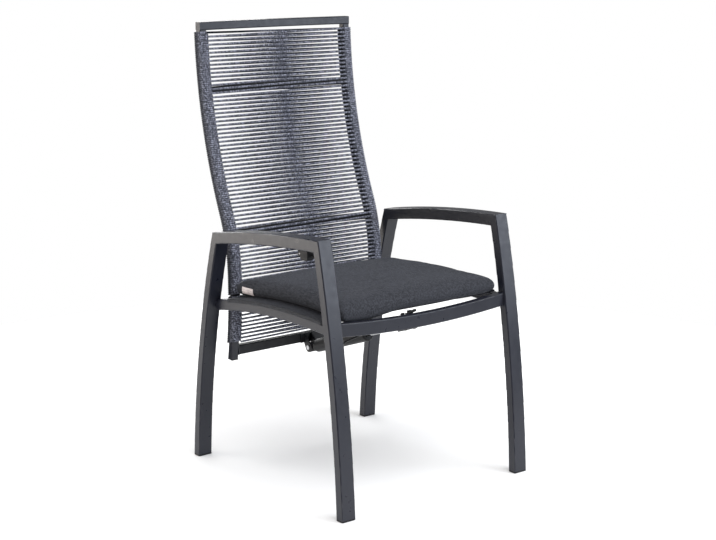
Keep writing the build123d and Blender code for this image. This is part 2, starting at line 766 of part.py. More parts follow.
# Back pivot: bush in each back tube, shoulder bolt from inside into the side rail
for side_name, side in sides:
    outward = Plane(origin=(0, *pivot_place), x_dir=(0, 1, 0), z_dir=(side, 0, 0))
    with BuildPart() as bush:
        with BuildSketch(outward.offset(back_inner)):
            Circle(bush_outer / 2)
        extrude(amount=back_tube_width)
        with BuildSketch(outward.offset(back_inner - bush_lip)):
            Circle(bush_flange / 2)
        extrude(amount=bush_lip)
        with BuildSketch(outward.offset(back_tube_outer)):
            Circle(bush_flange / 2)
        extrude(amount=rail_inner - back_tube_outer - bush_play)
        with BuildSketch(outward.offset(back_inner - bush_lip)):
            Circle(pivot_shoulder / 2 + pivot_play)
        extrude(amount=rail_inner - back_inner + bush_lip, mode=Mode.SUBTRACT)
    finish(bush.part, f"pivot_bush_{side_name}")
    head_start = back_inner - bush_lip - bush_play
    with BuildPart() as bolt:
        with BuildSketch(outward.offset(head_start - pivot_head_height)):
            Circle(pivot_head / 2)
        extrude(amount=pivot_head_height)
        with BuildSketch(outward.offset(head_start)):
            Circle(pivot_shoulder / 2)
        extrude(amount=rail_inner - head_start)
        with BuildSketch(outward.offset(rail_inner)):
            Circle(pivot_thread / 2)
        extrude(amount=pivot_thread_length)
        with BuildSketch(outward.offset(head_start - pivot_head_height)):
            RegularPolygon(pivot_head * socket_share / 2, 6)
        extrude(amount=pivot_head_height / 2, mode=Mode.SUBTRACT)
    finish(bolt.part, f"pivot_bolt_{side_name}")

# Gas spring: all its pieces lie along one line, measured from its front pin
spring_run = (spring_back[0] - spring_front[0], spring_back[1] - spring_front[1])
spring_length = hypot(*spring_run)
spring_line = Plane(origin=(0, *spring_front), x_dir=(-1, 0, 0), z_dir=(0, *spring_run))
spring_side = Plane(origin=(0, *spring_front), x_dir=(0, *spring_run), z_dir=(1, 0, 0))
cylinder_rear = spring_length - eye_neck
wire_place = spring_side.from_local_coords((0, wire_height, 0))
wire_line = Plane(origin=wire_place, x_dir=(-1, 0, 0), z_dir=(0, *spring_run))

with BuildPart() as cylinder:
    with BuildSketch(spring_line.offset(cylinder_front)):
        Circle(cylinder_diameter / 2)
    extrude(amount=cylinder_rear - cylinder_front)
    ends = cylinder.edges().filter_by(GeomType.CIRCLE)
    fillet(ends, cylinder_shoulder)
    with BuildSketch(spring_line.offset(cylinder_front)):
        Circle(cylinder_diameter / 2 - cylinder_shoulder - gland_lip)
    extrude(amount=gland_length, mode=Mode.SUBTRACT)
    with BuildSketch(spring_line.offset(cylinder_front + gland_length)):
        Circle(cylinder_diameter / 2 - cylinder_wall)
    extrude(amount=chamber_length - gland_length, mode=Mode.SUBTRACT)
finish(cylinder.part, "gas_spring_cylinder")

with BuildPart() as gland:
    with BuildSketch(spring_line.offset(cylinder_front - gland_lip)):
        Circle(rod_diameter / 2 + gland_lip)
        Circle(rod_diameter / 2 + rod_play, mode=Mode.SUBTRACT)
    extrude(amount=gland_lip)
    with BuildSketch(spring_line.offset(cylinder_front)):
        Circle(cylinder_diameter / 2 - cylinder_shoulder - gland_lip)
        Circle(rod_diameter / 2 + rod_play, mode=Mode.SUBTRACT)
    extrude(amount=gland_length)
finish(gland.part, "gas_spring_gland")

with BuildPart() as eye:
    with BuildSketch(spring_line.offset(cylinder_rear)):
        Circle(eye_neck_diameter / 2)
    extrude(amount=eye_neck)
    with BuildSketch(spring_side.offset(-eye_width / 2)):
        with Locations((spring_length, 0)):
            Circle(eye_outer / 2)
    extrude(amount=eye_width)
    with BuildSketch(spring_side.offset(-eye_width / 2)):
        with Locations((spring_length, 0)):
            Circle(spring_pin / 2 + eye_slack)
    extrude(amount=eye_width, mode=Mode.SUBTRACT)
finish(eye.part, "gas_spring_eye")

rod_end = cylinder_front + gland_length + rod_inside
with BuildPart() as rod:
    with BuildSketch(spring_line.offset(head_rear - rod_seat)):
        Circle(rod_diameter / 2)
    extrude(amount=rod_end - head_rear + rod_seat)
    with BuildSketch(spring_line.offset(rod_end - piston_length)):
        Circle(cylinder_diameter / 2 - cylinder_wall - piston_play)
    extrude(amount=piston_length)
    with BuildSketch(spring_line.offset(head_rear - rod_seat)):
        Circle(valve_pin_diameter / 2 + valve_play)
    extrude(amount=valve_pin_end + pin_travel_room - head_rear + rod_seat, mode=Mode.SUBTRACT)
finish(rod.part, "gas_spring_rod")

# Release head: a block on the rod's front end, slotted for the bell crank, with two ears for its pin and a
# lug at its front that stops the cable
crank_slot = (valve_pin_start - crank_toe_width - crank_round, valve_pin_start + crank_round)
with BuildPart() as head:
    with BuildSketch(spring_line.offset(-head_front)):
        RectangleRounded(head_width, head_width, tube_round)
    extrude(amount=head_front + head_rear)
    with BuildSketch(spring_side.offset(-head_width / 2)):
        with Locations(crank_pivot):
            Circle(crank_round)
        with Locations((crank_pivot[0], halfway(crank_pivot[1], head_width / 2 - crank_round))):
            Rectangle(2 * crank_round, crank_pivot[1] - head_width / 2 + crank_round)
    extrude(amount=head_width)
    with BuildSketch(spring_side.offset(-cable_lug_width / 2)):
        with Locations((cable_lug[0] + cable_lug[1] / 2, halfway(cable_lug_top, head_width / 2 - cable_lug[1]))):
            Rectangle(cable_lug[1], cable_lug_top - head_width / 2 + cable_lug[1])
    extrude(amount=cable_lug_width)
    with BuildSketch(wire_line.offset(cable_lug[0])):
        Circle(wire_diameter / 2 + wire_play)
    extrude(amount=cable_lug[1], mode=Mode.SUBTRACT)
    with BuildSketch(spring_line.offset(crank_slot[0])):
        Circle(valve_pin_diameter / 2 + valve_play)
    extrude(amount=head_rear - crank_slot[0], mode=Mode.SUBTRACT)
    with BuildSketch(spring_side.offset(-head_slot / 2)):
        with Locations((halfway(*crank_slot), head_width / 2)):
            Rectangle(crank_slot[1] - crank_slot[0], head_width + 2 * crank_round)
    extrude(amount=head_slot, mode=Mode.SUBTRACT)
    with BuildSketch(spring_line.offset(head_rear - rod_seat)):
        Circle(rod_diameter / 2)
    extrude(amount=rod_seat, mode=Mode.SUBTRACT)
    with BuildSketch(spring_side.offset(-head_width / 2)):
        Circle(spring_pin / 2 + spring_pin_play)
        with Locations(crank_pivot):
            Circle(crank_pivot_pin / 2)
    extrude(amount=head_width, mode=Mode.SUBTRACT)
finish(head.part, "release_head")

with BuildPart() as valve_pin:
    with BuildSketch(spring_line.offset(valve_pin_start)):
        Circle(valve_pin_diameter / 2)
    extrude(amount=valve_pin_end - valve_pin_start)
finish(valve_pin.part, "valve_pin")

toe_centre = valve_pin_start - valve_play - crank_toe_width / 2
with BuildPart() as crank:
    with BuildSketch(spring_side.offset(-crank_width / 2)):
        with Locations(crank_pivot):
            Circle(crank_round)
        with Locations((toe_centre, crank_pivot[1] - crank_toe / 2)):
            Rectangle(crank_toe_width, crank_toe)
        with Locations((crank_pivot[0], crank_pivot[1] + crank_heel / 2)):
            Rectangle(crank_round, crank_heel)
        with Locations(crank_pivot):
            Circle(crank_pivot_pin / 2 + pivot_play, mode=Mode.SUBTRACT)
    extrude(amount=crank_width)
    with BuildSketch(wire_line.offset(cable_lug[0])):
        Circle(wire_diameter / 2 + wire_play)
    extrude(amount=crank_pivot[0] + crank_round - cable_lug[0], mode=Mode.SUBTRACT)
finish(crank.part, "release_crank")

with BuildPart() as crank_pin:
    with BuildSketch(spring_side.offset(-head_width / 2 - glide_edge)):
        with Locations(crank_pivot):
            Circle(crank_pivot_pin / 2)
    extrude(amount=head_width + 2 * glide_edge)
finish(crank_pin.part, "release_crank_pin")


# Inner wire from the cable's ferrule to the crank's heel, with a nipple behind the heel
wire_end = crank_pivot[0] + crank_round / 2 + 2 * valve_play
with BuildPart() as wire:
    with BuildSketch(wire_line.offset(cable_lug[0] - wire_inside)):
        Circle(wire_diameter / 2)
    extrude(amount=wire_end - cable_lug[0] + wire_inside)
    with BuildSketch(wire_line.offset(wire_end)):
        Circle(wire_end_diameter / 2)
    extrude(amount=wire_end_length)
finish(wire.part, "release_wire")


def clevis(place, foot_low, foot_high, foot_start, direction, inside):
    """Two rounded plates on a foot plate, with a hole for the spring's pin."""
    foot_stop = foot_start + direction * foot_plate_thickness
    with BuildPart() as bracket:
        for side in (-1, 1):
            inner = inside if side > 0 else -inside - plate_thickness
            with BuildSketch(Plane.YZ.offset(inner)):
                with Locations(place):
                    Circle(plate_round)
                with Locations((foot_stop, halfway(foot_low, foot_high))):
                    Rectangle(overrun, foot_high - foot_low)
                make_hull()
                with Locations(place):
                    Circle(spring_pin / 2, mode=Mode.SUBTRACT)
            extrude(amount=plate_thickness)
        with BuildSketch(Plane.YZ.offset(-foot_plate_width / 2)):
            with Locations((halfway(foot_start, foot_stop), halfway(foot_low, foot_high))):
                Rectangle(foot_plate_thickness, foot_high - foot_low)
        extrude(amount=foot_plate_width)
    return bracket.part


def spring_bolt(place, inside):
    """Headed pin through both plates of a clevis, with a retaining ring past the far one."""
    reach = inside + plate_thickness
    with BuildPart() as pin:
        with BuildSketch(Plane.YZ.offset(-reach)):
            with Locations(place):
                Circle(spring_pin / 2)
        extrude(amount=2 * reach + spring_pin_lip)
        for start in (-reach - spring_pin_lip, reach):
            with BuildSketch(Plane.YZ.offset(start)):
                with Locations(place):
                    Circle(spring_pin_head / 2)
            extrude(amount=spring_pin_lip)
    return pin.part


front_inside = head_width / 2 + plate_gap
front_foot_high = front_plate_low + front_plate_height
front_bracket = clevis(spring_front, front_plate_low, front_foot_high, rail_front[0], 1, front_inside)
finish(front_bracket, "spring_front_bracket")
finish(spring_bolt(spring_front, front_inside), "spring_front_pin")
back_inside = eye_width / 2 + plate_gap
bottom_face = bottom_place - tube_half
bottom_rail_high = bottom_rail_low + bottom_rail_height
back_bracket = clevis(spring_back, bottom_rail_low, bottom_rail_high, bottom_face, -1, back_inside)
finish(back_bracket, "spring_back_bracket")
finish(spring_bolt(spring_back, back_inside), "spring_back_pin")

# Release housing, open below, and the lever that is squeezed up into it
housing_centre = -leg_middle
housing_side = Plane.YZ.offset(housing_centre - housing_width / 2)
with BuildPart() as housing:
    with BuildSketch(housing_side):
        with Locations((halfway(housing_front, housing_rear), housing_low + arm_depth / 2)):
            Rectangle(housing_rear - housing_front, arm_depth)
    extrude(amount=housing_width)
    fillet(housing.edges().filter_by(Axis.Z), tube_round)
    with BuildSketch(housing_side.offset(housing_wall)):
        with Locations((halfway(housing_front, housing_rear), housing_low + arm_depth / 2 - housing_wall)):
            Rectangle(housing_rear - housing_front - 2 * housing_wall, arm_depth)
    extrude(amount=housing_width - 2 * housing_wall, mode=Mode.SUBTRACT)
    with BuildSketch(housing_side):
        with Locations(lever_pivot):
            Circle(lever_pin / 2)
    extrude(amount=housing_width, mode=Mode.SUBTRACT)
    with BuildSketch(Plane.YZ.offset(-half_width - overrun)):
        make_face(arm_profile(0))
    extrude(amount=tube_width + 2 * overrun, mode=Mode.SUBTRACT)
finish(housing.solids().sort_by(Axis.Z)[0], "release_housing")

with BuildPart() as lever_axle:
    with BuildSketch(housing_side):
        with Locations(lever_pivot):
            Circle(lever_pin / 2)
    extrude(amount=housing_width)
finish(lever_axle.part, "release_lever_pin")

with BuildPart() as lever:
    with BuildSketch(Plane.YZ.offset(housing_centre - lever_width / 2)):
        with Locations(lever_pivot):
            Circle(lever_round)
        with Locations((halfway(lever_tip, lever_pivot[0]), lever_low + lever_depth / 2)):
            Rectangle(lever_pivot[0] - lever_tip, lever_depth)
        make_hull()
        with Locations(lever_pivot):
            Circle(lever_pin / 2 + pivot_play, mode=Mode.SUBTRACT)
    extrude(amount=lever_width)
    fillet(lever.edges().filter_by(Axis.X).sort_by(Axis.Z)[:2], tube_round)
finish(lever.part, "release_lever")

# Release cable, its ferrule at the head, and the clips that hold it to the front rail
with BuildPart() as cable:
    with BuildSketch(cable_start):
        Circle(cable_diameter / 2)
    sweep(path=cable_path)
print("cable volume share", round(cable.part.volume / (cable_path.length * pi * (cable_diameter / 2) ** 2), 4))
finish(cable.part, "release_cable")

with BuildPart() as ferrule:
    with BuildSketch(wire_line.offset(cable_lug[0])):
        Circle(ferrule_diameter / 2)
        Circle(ferrule_bore / 2, mode=Mode.SUBTRACT)
    extrude(amount=-ferrule_length)
finish(ferrule.part, "release_cable_ferrule")

clip_half = cable_diameter / 2 + clip_wall
with BuildPart() as clips:
    for start, end in list(zip(cable_route, cable_route[1:]))[clip_stretch]:
        middle = (Vector(start) + Vector(end)) / 2
        with BuildSketch(Plane.YZ.offset(middle.X - clip_width / 2)):
            with Locations((halfway(rail_front[0], middle.Y + clip_half), middle.Z)):
                Rectangle(middle.Y + clip_half - rail_front[0], 2 * clip_half)
        extrude(amount=clip_width)
    add(cable.part, mode=Mode.SUBTRACT)
finish(clips.part, "release_cable_clips")
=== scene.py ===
"""Looks of a reclining garden armchair: coated frame, wound rope back, mesh seat and loose cushion."""
import math

import bpy
from bpy.props import FloatProperty, FloatVectorProperty, IntProperty, PointerProperty
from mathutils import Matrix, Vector, noise


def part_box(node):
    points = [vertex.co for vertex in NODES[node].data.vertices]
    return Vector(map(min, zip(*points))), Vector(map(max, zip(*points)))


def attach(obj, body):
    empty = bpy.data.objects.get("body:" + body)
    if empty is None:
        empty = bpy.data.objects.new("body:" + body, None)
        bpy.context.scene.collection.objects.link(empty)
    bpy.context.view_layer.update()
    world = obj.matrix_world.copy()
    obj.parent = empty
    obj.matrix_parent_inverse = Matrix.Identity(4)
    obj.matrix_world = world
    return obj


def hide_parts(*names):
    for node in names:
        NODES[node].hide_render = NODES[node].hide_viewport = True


bl_info = {
    "name": "Reclining garden armchair",
    "version": (1, 0, 0),
    "blender": (4, 5, 0),
    "location": "3D View > Sidebar > Armchair",
    "description": "Dresses the packed frame of a rope-backed garden armchair",
    "category": "Object",
}

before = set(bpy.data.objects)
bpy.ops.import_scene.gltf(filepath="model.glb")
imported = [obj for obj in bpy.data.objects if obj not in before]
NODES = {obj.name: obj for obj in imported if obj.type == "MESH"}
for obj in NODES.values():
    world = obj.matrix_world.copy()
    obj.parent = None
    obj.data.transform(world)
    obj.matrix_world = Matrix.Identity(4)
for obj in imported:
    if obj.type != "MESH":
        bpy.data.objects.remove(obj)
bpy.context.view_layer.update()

MM = 0.001

# How far the part was moved toward the front from the part's own origin
ORIGIN_SHIFT = 28.262 * MM

# Centre line of the back tubes: arcs that run on from one lean to the next
BACK_START = 232 * MM - ORIGIN_SHIFT
BACK_HEIGHTS = (268 * MM, 497 * MM, 649 * MM, 1133 * MM)
BACK_LEANS = tuple(math.radians(lean) for lean in (-9, 1.5, 23, 1))

# Underside of the seat rails, one arc from front to rear
RAIL_FRONT = (-244 * MM - ORIGIN_SHIFT, 430 * MM)
RAIL_REAR = (219.5 * MM - ORIGIN_SHIFT, 409.5 * MM)
RAIL_BOW = 15.5 * MM
RAIL_OUTER = 276 * MM
SLING_TOP = 30.6 * MM
CUSHION_BASE = 30.7 * MM

# Route of the release cable as in the part's source, but 2 and 2.5 mm higher at two points before the
# release head, so that it shows above the front rail as in the photograph
CABLE_ROUTE = (
    (-280, -181.5, 618.5), (-280, -232, 590), (-280, -243, 543), (-280, -252, 498), (-280, -260, 455),
    (-280, -264, 416), (-262, -247, 398), (-222, -228, 408), (-172, -233, 420), (-122, -239, 428),
    (-80, -238, 434), (-46, -237, 447), (-12, -239, 460), (0, -231.3, 451.9), (0, -215.3, 446.3))
CABLE_DIAMETER = 4 * MM


# Settings that a user would change

class RopeSettings(bpy.types.PropertyGroup):
    """Sizes and colour of the rope wound round the back."""
    diameter: FloatProperty(
        name="Diameter", description="Thickness of the rope", default=5.4 * MM, unit="LENGTH")
    rows: IntProperty(name="Rows", description="Turns of rope from the bottom to the top", default=77)
    low: FloatProperty(
        name="Low end", description="Height of the lowest turn", default=312 * MM, unit="LENGTH")
    high: FloatProperty(
        name="High end", description="Height of the highest turn", default=1103 * MM, unit="LENGTH")
    low_slope: FloatProperty(
        name="Low slope", description="Fall of the lowest turn toward the rear", default=math.radians(16.2),
        subtype="ANGLE")
    high_slope: FloatProperty(
        name="High slope", description="Fall of the highest turn toward the rear",
        default=math.radians(3.4), subtype="ANGLE")
    colour: FloatVectorProperty(
        name="Colour", description="Main colour of the yarn", subtype="COLOR", size=3,
        default=(0.19, 0.198, 0.245), min=0, max=1)
    # Painted shade: where a point's share of painted light is low, the rope's colour is multiplied by this
    # tone
    shaded: FloatProperty(
        name="Shaded sides", description="Tone of the rope where it hasn't bleached", default=0.16, min=0,
        max=1)


class CushionSettings(bpy.types.PropertyGroup):
    """Filling, seam and cloth of the seat cushion and its tag."""
    voxel: FloatProperty(
        name="Grain of the mesh", description="Voxel size of the remesh", default=5 * MM, unit="LENGTH")
    slack: FloatProperty(
        name="Slack", description="How much smaller the cut starts", default=0.5 * MM, unit="LENGTH")
    swell: FloatProperty(
        name="Swell", description="How far the filling may push a point", default=6 * MM, unit="LENGTH")
    pressure: FloatProperty(name="Pressure", description="Pressure of the filling", default=4.0)
    welt: FloatProperty(
        name="Welt", description="Thickness of the welt at the base", default=3.2 * MM, unit="LENGTH")
    colour: FloatVectorProperty(
        name="Colour", description="Main colour of the cloth", subtype="COLOR", size=3,
        default=(0.031, 0.0325, 0.039), min=0, max=1)
    tag_colour: FloatVectorProperty(
        name="Tag colour", description="Colour of the blank tag", subtype="COLOR", size=3,
        default=(0.78, 0.7, 0.69), min=0, max=1)


class FrameSettings(bpy.types.PropertyGroup):
    """Coating of the tubes and the beads at their joints."""
    colour: FloatVectorProperty(
        name="Coating", description="Colour of the powder coating", subtype="COLOR", size=3,
        default=(0.011, 0.0122, 0.0195), min=0, max=1)
    roughness: FloatProperty(
        name="Roughness", description="Roughness of the coating", default=0.32, min=0, max=1)
    bead: FloatProperty(name="Bead", description="Thickness of a weld bead", default=2.6 * MM, unit="LENGTH")


class SlingSettings(bpy.types.PropertyGroup):
    """The mesh cloth stretched over the seat rails."""
    thickness: FloatProperty(
        name="Thickness", description="Thickness of the mesh cloth", default=1.2 * MM, unit="LENGTH")
    thread: FloatProperty(
        name="Thread", description="Spacing of the threads", default=1.6 * MM, unit="LENGTH")
    colour: FloatVectorProperty(
        name="Colour", description="Colour of the threads", subtype="COLOR", size=3,
        default=(0.02, 0.021, 0.025), min=0, max=1)


class StageSettings(bpy.types.PropertyGroup):
    """Floor and light."""
    floor: FloatVectorProperty(
        name="Floor", description="Colour of the floor", subtype="COLOR", size=3,
        default=(0.92, 0.92, 0.92), min=0, max=1)
    sky: FloatProperty(name="Sky", description="Strength of the light from all round", default=0.3, min=0)
    top: FloatProperty(
        name="Top light", description="Strength of the broad light overhead", default=3.2, min=0)
    key: FloatProperty(
        name="Key light", description="Power of the soft box in front", default=78, unit="POWER")
    side: FloatProperty(
        name="Side light", description="Power of the soft box at the rear left", default=38, unit="POWER")
    rear: FloatProperty(
        name="Rear light", description="Power of the low soft box at the rear", default=60, unit="POWER")


# Lines of the seat and the back

def arc_spans():
    """The arcs of the back tubes, each as its low height, high height, lower lean, radius and start in Y."""
    spans = []
    start = BACK_START
    for index in range(len(BACK_LEANS) - 1):
        low, high = BACK_HEIGHTS[index], BACK_HEIGHTS[index + 1]
        first, last = BACK_LEANS[index], BACK_LEANS[index + 1]
        radius = (high - low) / (math.sin(last) - math.sin(first))
        spans.append((low, high, first, radius, start))
        start += radius * (math.cos(first) - math.cos(last))
    return spans


BACK_SPANS = arc_spans()


def back_line(height):
    """Place in Y and lean of the back tubes' centre line at a height."""
    for low, high, first, radius, start in BACK_SPANS:
        if height <= high:
            break
    lean = math.asin(math.sin(first) + (height - low) / radius)
    return start + radius * (math.cos(first) - math.cos(lean)), lean


def seat_line(place, above):
    """Height of the line that runs above the rails' underside at a place in Y."""
    middle = Vector(((RAIL_FRONT[0] + RAIL_REAR[0]) / 2, (RAIL_FRONT[1] + RAIL_REAR[1]) / 2))
    chord = Vector(RAIL_REAR) - Vector(RAIL_FRONT)
    radius = (chord.length ** 2 / 4 + RAIL_BOW ** 2) / (2 * RAIL_BOW)
    upward = Vector((-chord.y, chord.x)).normalized()
    centre = middle + upward * (RAIL_BOW - radius)
    return centre.y + math.sqrt((radius + above) ** 2 - (place - centre.x) ** 2)


# Numbers and meshes

def clamp(value):
    """The value, kept from 0 to 1."""
    return min(1, max(0, value))


def stand(name, data):
    """A new object in the scene, made from its data."""
    made = bpy.data.objects.new(name, data)
    bpy.context.scene.collection.objects.link(made)
    return made


def link_mesh(name, points, faces, spots=None):
    """Makes a smooth object from points and faces, with a UV map when spots gives a place to each corner."""
    mesh = bpy.data.meshes.new(name)
    mesh.from_pydata(points, [], faces)
    if spots:
        layer = mesh.uv_layers.new(name="UVMap")
        layer.data.foreach_set("uv", [number for spot in spots for number in spot])
    mesh.shade_smooth()
    return stand(name, mesh)


def sweep_round(runs, radius, sides, ripple=None):
    """Points, faces and UV spots of round rods swept along runs of points, capped at both ends."""
    points, faces, spots = [], [], []
    for run in runs:
        base = len(points)
        across = None
        travelled = [0.0]
        for index, point in enumerate(run):
            ahead = (run[min(index + 1, len(run) - 1)] - run[max(index - 1, 0)]).normalized()
            if across is None:
                across = ahead.orthogonal()
            across = (across - ahead * across.dot(ahead)).normalized()
            over = ahead.cross(across)
            if index:
                travelled.append(travelled[-1] + (point - run[index - 1]).length)
            size = radius * (ripple(travelled[-1]) if ripple else 1)
            for side in range(sides):
                angle = 2 * math.pi * side / sides
                points.append(point + across * math.cos(angle) * size + over * math.sin(angle) * size)
        for index in range(len(run) - 1):
            for side in range(sides):
                after = (side + 1) % sides
                low, high = base + index * sides, base + (index + 1) * sides
                faces.append((low + side, low + after, high + after, high + side))
                for row, turn in ((index, side), (index, side + 1), (index + 1, side + 1), (index + 1, side)):
                    spots.append((travelled[row], turn / sides))
        last = base + (len(run) - 1) * sides
        faces.append(tuple(base + side for side in reversed(range(sides))))
        faces.append(tuple(last + side for side in range(sides)))
        spots.extend((0.0, side / sides) for side in reversed(range(sides)))
        spots.extend((travelled[-1], side / sides) for side in range(sides))
    return points, faces, spots


def corner_points(centre, start, radius, steps):
    """Points on a quarter turn round a centre, from an angle given in quarter turns, as across and depth."""
    made = []
    for step in range(steps + 1):
        angle = (start - step / steps) * math.pi / 2
        made.append((centre[0] + radius * math.cos(angle), centre[1] + radius * math.sin(angle)))
    return made


def surface_hit(piece, start, direction):
    """Where a ray first meets a piece that stands at the origin."""
    found, place = piece.ray_cast(start, direction)[:2]
    if not found:
        raise RuntimeError(f"no surface of {piece.name} on the ray from {tuple(start)}")
    return place


def grid_faces(rows, columns):
    """Faces between neighbouring rows of points that all have the same number of points."""
    return [(low, low + 1, low + columns + 1, low + columns)
            for row in range(rows - 1) for low in range(row * columns, (row + 1) * columns - 1)]


def thicken(piece, thickness):
    """Gives a cloth its thickness, half on each side."""
    added = piece.modifiers.new("Thickness", "SOLIDIFY")
    added.thickness = thickness
    added.offset = 0


# Materials

def add_node(tree, kind, inputs=None, **settings):
    """Adds a shader node with its settings, and fills its inputs with values or links."""
    made = tree.nodes.new(kind)
    for name, value in settings.items():
        setattr(made, name, value)
    for socket, value in (inputs or {}).items():
        if isinstance(value, bpy.types.NodeSocket):
            tree.links.new(value, made.inputs[socket])
        else:
            made.inputs[socket].default_value = value
    return made


def start_material(name, **sockets):
    """A new node material, with plain values set on its shader's own sockets."""
    material = bpy.data.materials.new(name)
    material.use_nodes = True
    tree = material.node_tree
    shader = tree.nodes["Principled BSDF"]
    for socket, value in sockets.items():
        shader.inputs[socket.replace("_", " ")].default_value = value
    return material, tree, shader


def feed(tree, shader, **values):
    """Links values to the shader's own sockets."""
    for socket, value in values.items():
        tree.links.new(value, shader.inputs[socket.replace("_", " ")])


def blend_colours(tree, amount, first, second, mode="MIX"):
    """Mixes two colours by an amount and gives the mixed colour."""
    mixed = add_node(tree, "ShaderNodeMix", {"Factor": amount}, data_type="RGBA", blend_type=mode)
    for socket, value in (("A", first), ("B", second)):
        slot = [entry for entry in mixed.inputs if entry.name == socket and entry.type == "RGBA"][0]
        if isinstance(value, bpy.types.NodeSocket):
            tree.links.new(value, slot)
        else:
            slot.default_value = value
    return [entry for entry in mixed.outputs if entry.type == "RGBA"][0]


def shade(colour, strength):
    """A colour made lighter or darker, with full opacity."""
    return tuple(min(1.0, channel * strength) for channel in colour) + (1.0,)


def speckle(tree, place, scale, detail, stretch=(1, 1, 1)):
    """Noise at a scale, on a place that may be stretched along its axes."""
    moved = add_node(tree, "ShaderNodeMapping", {"Vector": place, "Scale": stretch}).outputs[0]
    made = add_node(tree, "ShaderNodeTexNoise", {"Vector": moved, "Scale": scale, "Detail": detail})
    return made.outputs["Fac"]


def spread(tree, value, low, high, to_low=0.0, to_high=1.0):
    """Stretches a value from one range to another."""
    made = add_node(tree, "ShaderNodeMapRange", {
        "Value": value, "From Min": low, "From Max": high, "To Min": to_low, "To Max": to_high})
    return made.outputs["Result"]


def raise_surface(tree, shader, height, depth, strength):
    """Feeds a height into the shader's normal."""
    bump = add_node(tree, "ShaderNodeBump", {"Height": height, "Distance": depth, "Strength": strength})
    feed(tree, shader, Normal=bump.outputs[0])


def calculate(tree, operation, first, second=0.5):
    """A sum, product or other operation on two values."""
    return add_node(tree, "ShaderNodeMath", {0: first, 1: second}, operation=operation).outputs[0]


def object_place(tree):
    """Coordinates on the piece itself, in metres."""
    return add_node(tree, "ShaderNodeTexCoord").outputs["Object"]


def coating(name, colour, roughness):
    """Powder coating: fine orange peel, faint cloudiness and rubbed high spots."""
    material, tree, shader = start_material(name, Specular_IOR_Level=0.42)
    place = object_place(tree)
    cloud = spread(tree, speckle(tree, place, 9, 3), 0.35, 0.65)
    grit = spread(tree, speckle(tree, place, 700, 1), 0.4, 0.75)
    base = blend_colours(tree, cloud, shade(colour, 0.93), shade(colour, 1.07))
    dusted = blend_colours(tree, calculate(tree, "MULTIPLY", grit, 0.3), base, shade(colour, 1.6))
    rough = spread(tree, speckle(tree, place, 70, 4), 0.3, 0.7, roughness - 0.05, roughness + 0.07)
    feed(tree, shader, Base_Color=dusted, Roughness=rough)
    raise_surface(tree, shader, speckle(tree, place, 600, 1), 0.04 * MM, 0.2)
    return material


def metal(name, colour, roughness, brushed=(1, 1, 1), metallic=1.0):
    """Plated or painted metal with fine turning marks."""
    material, tree, shader = start_material(name, Metallic=metallic, Specular_IOR_Level=0.25)
    place = object_place(tree)
    marks = speckle(tree, place, 500, 3, brushed)
    stain = spread(tree, speckle(tree, place, 60, 4), 0.35, 0.7)
    stained = blend_colours(tree, stain, shade(colour, 0.85), shade(colour, 1.08))
    rough = spread(tree, marks, 0.3, 0.7, roughness * 0.75, roughness * 1.3)
    feed(tree, shader, Base_Color=stained, Roughness=rough)
    raise_surface(tree, shader, marks, 0.03 * MM, 0.4)
    return material


def moulded(name, colour, roughness=0.5):
    """Moulded plastic with a spark-eroded grain."""
    material, tree, shader = start_material(name, Specular_IOR_Level=0.22)
    place = object_place(tree)
    grain = speckle(tree, place, 1400, 2)
    scuffs = spread(tree, speckle(tree, place, 90, 5), 0.5, 0.75)
    scuffed = blend_colours(tree, scuffs, shade(colour, 1.0), shade(colour, 1.7))
    rough = spread(tree, scuffs, 0, 1, roughness, roughness + 0.15)
    feed(tree, shader, Base_Color=scuffed, Roughness=rough)
    raise_surface(tree, shader, grain, 0.05 * MM, 0.5)
    return material


def braided(name, colour, shaded, step, strands):
    """Braided cord: strands that cross, in yarns of different greys, with painted shade in its grooves and
    painted light and shade from a share per point.
    """
    material, tree, shader = start_material(name, Roughness=0.85, Specular_IOR_Level=0.2, Sheen_Weight=0.1,
                                            Sheen_Roughness=0.5, Sheen_Tint=(0.6, 0.65, 0.8, 1.0))
    spot = add_node(tree, "ShaderNodeUVMap", uv_map="UVMap").outputs[0]
    parts = add_node(tree, "ShaderNodeSeparateXYZ", {0: spot})
    along = calculate(tree, "DIVIDE", parts.outputs[0], step)
    around = calculate(tree, "MULTIPLY", parts.outputs[1], strands)
    first = calculate(tree, "PINGPONG", calculate(tree, "ADD", along, around), 0.5)
    second = calculate(tree, "PINGPONG", calculate(tree, "SUBTRACT", along, around), 0.5)
    ridge = calculate(tree, "MAXIMUM", first, second)
    yarns = speckle(tree, spot, 1.0, 2, (330, 2.4, 1))
    batch = speckle(tree, object_place(tree), 260, 2)
    mottled = blend_colours(tree, spread(tree, yarns, 0.42, 0.58), shade(colour, 0.35), shade(colour, 1.7))
    clouded = blend_colours(tree, spread(tree, batch, 0.5, 0.62), mottled, shade(colour, 0.2))
    # Painted shade: the grooves between the strands are darkened to 0.3 of the colour
    groove_shade_mask = spread(tree, ridge, 0.15, 0.4, 0.5, 1.0)
    plait_with_groove_shade = blend_colours(tree, groove_shade_mask, shade(colour, 0.3), clouded)
    # Painted light and shade: each point's share of painted light mixes the darkened colour with the lit
    # colour
    painted_light = add_node(tree, "ShaderNodeAttribute", attribute_name="bleached").outputs["Fac"]
    dark = blend_colours(tree, 1.0, plait_with_groove_shade, (shaded, shaded, shaded, 1.0), "MULTIPLY")
    feed(tree, shader, Base_Color=blend_colours(tree, painted_light, dark, plait_with_groove_shade))
    raise_surface(tree, shader, ridge, 0.5 * MM, 0.8)
    return material


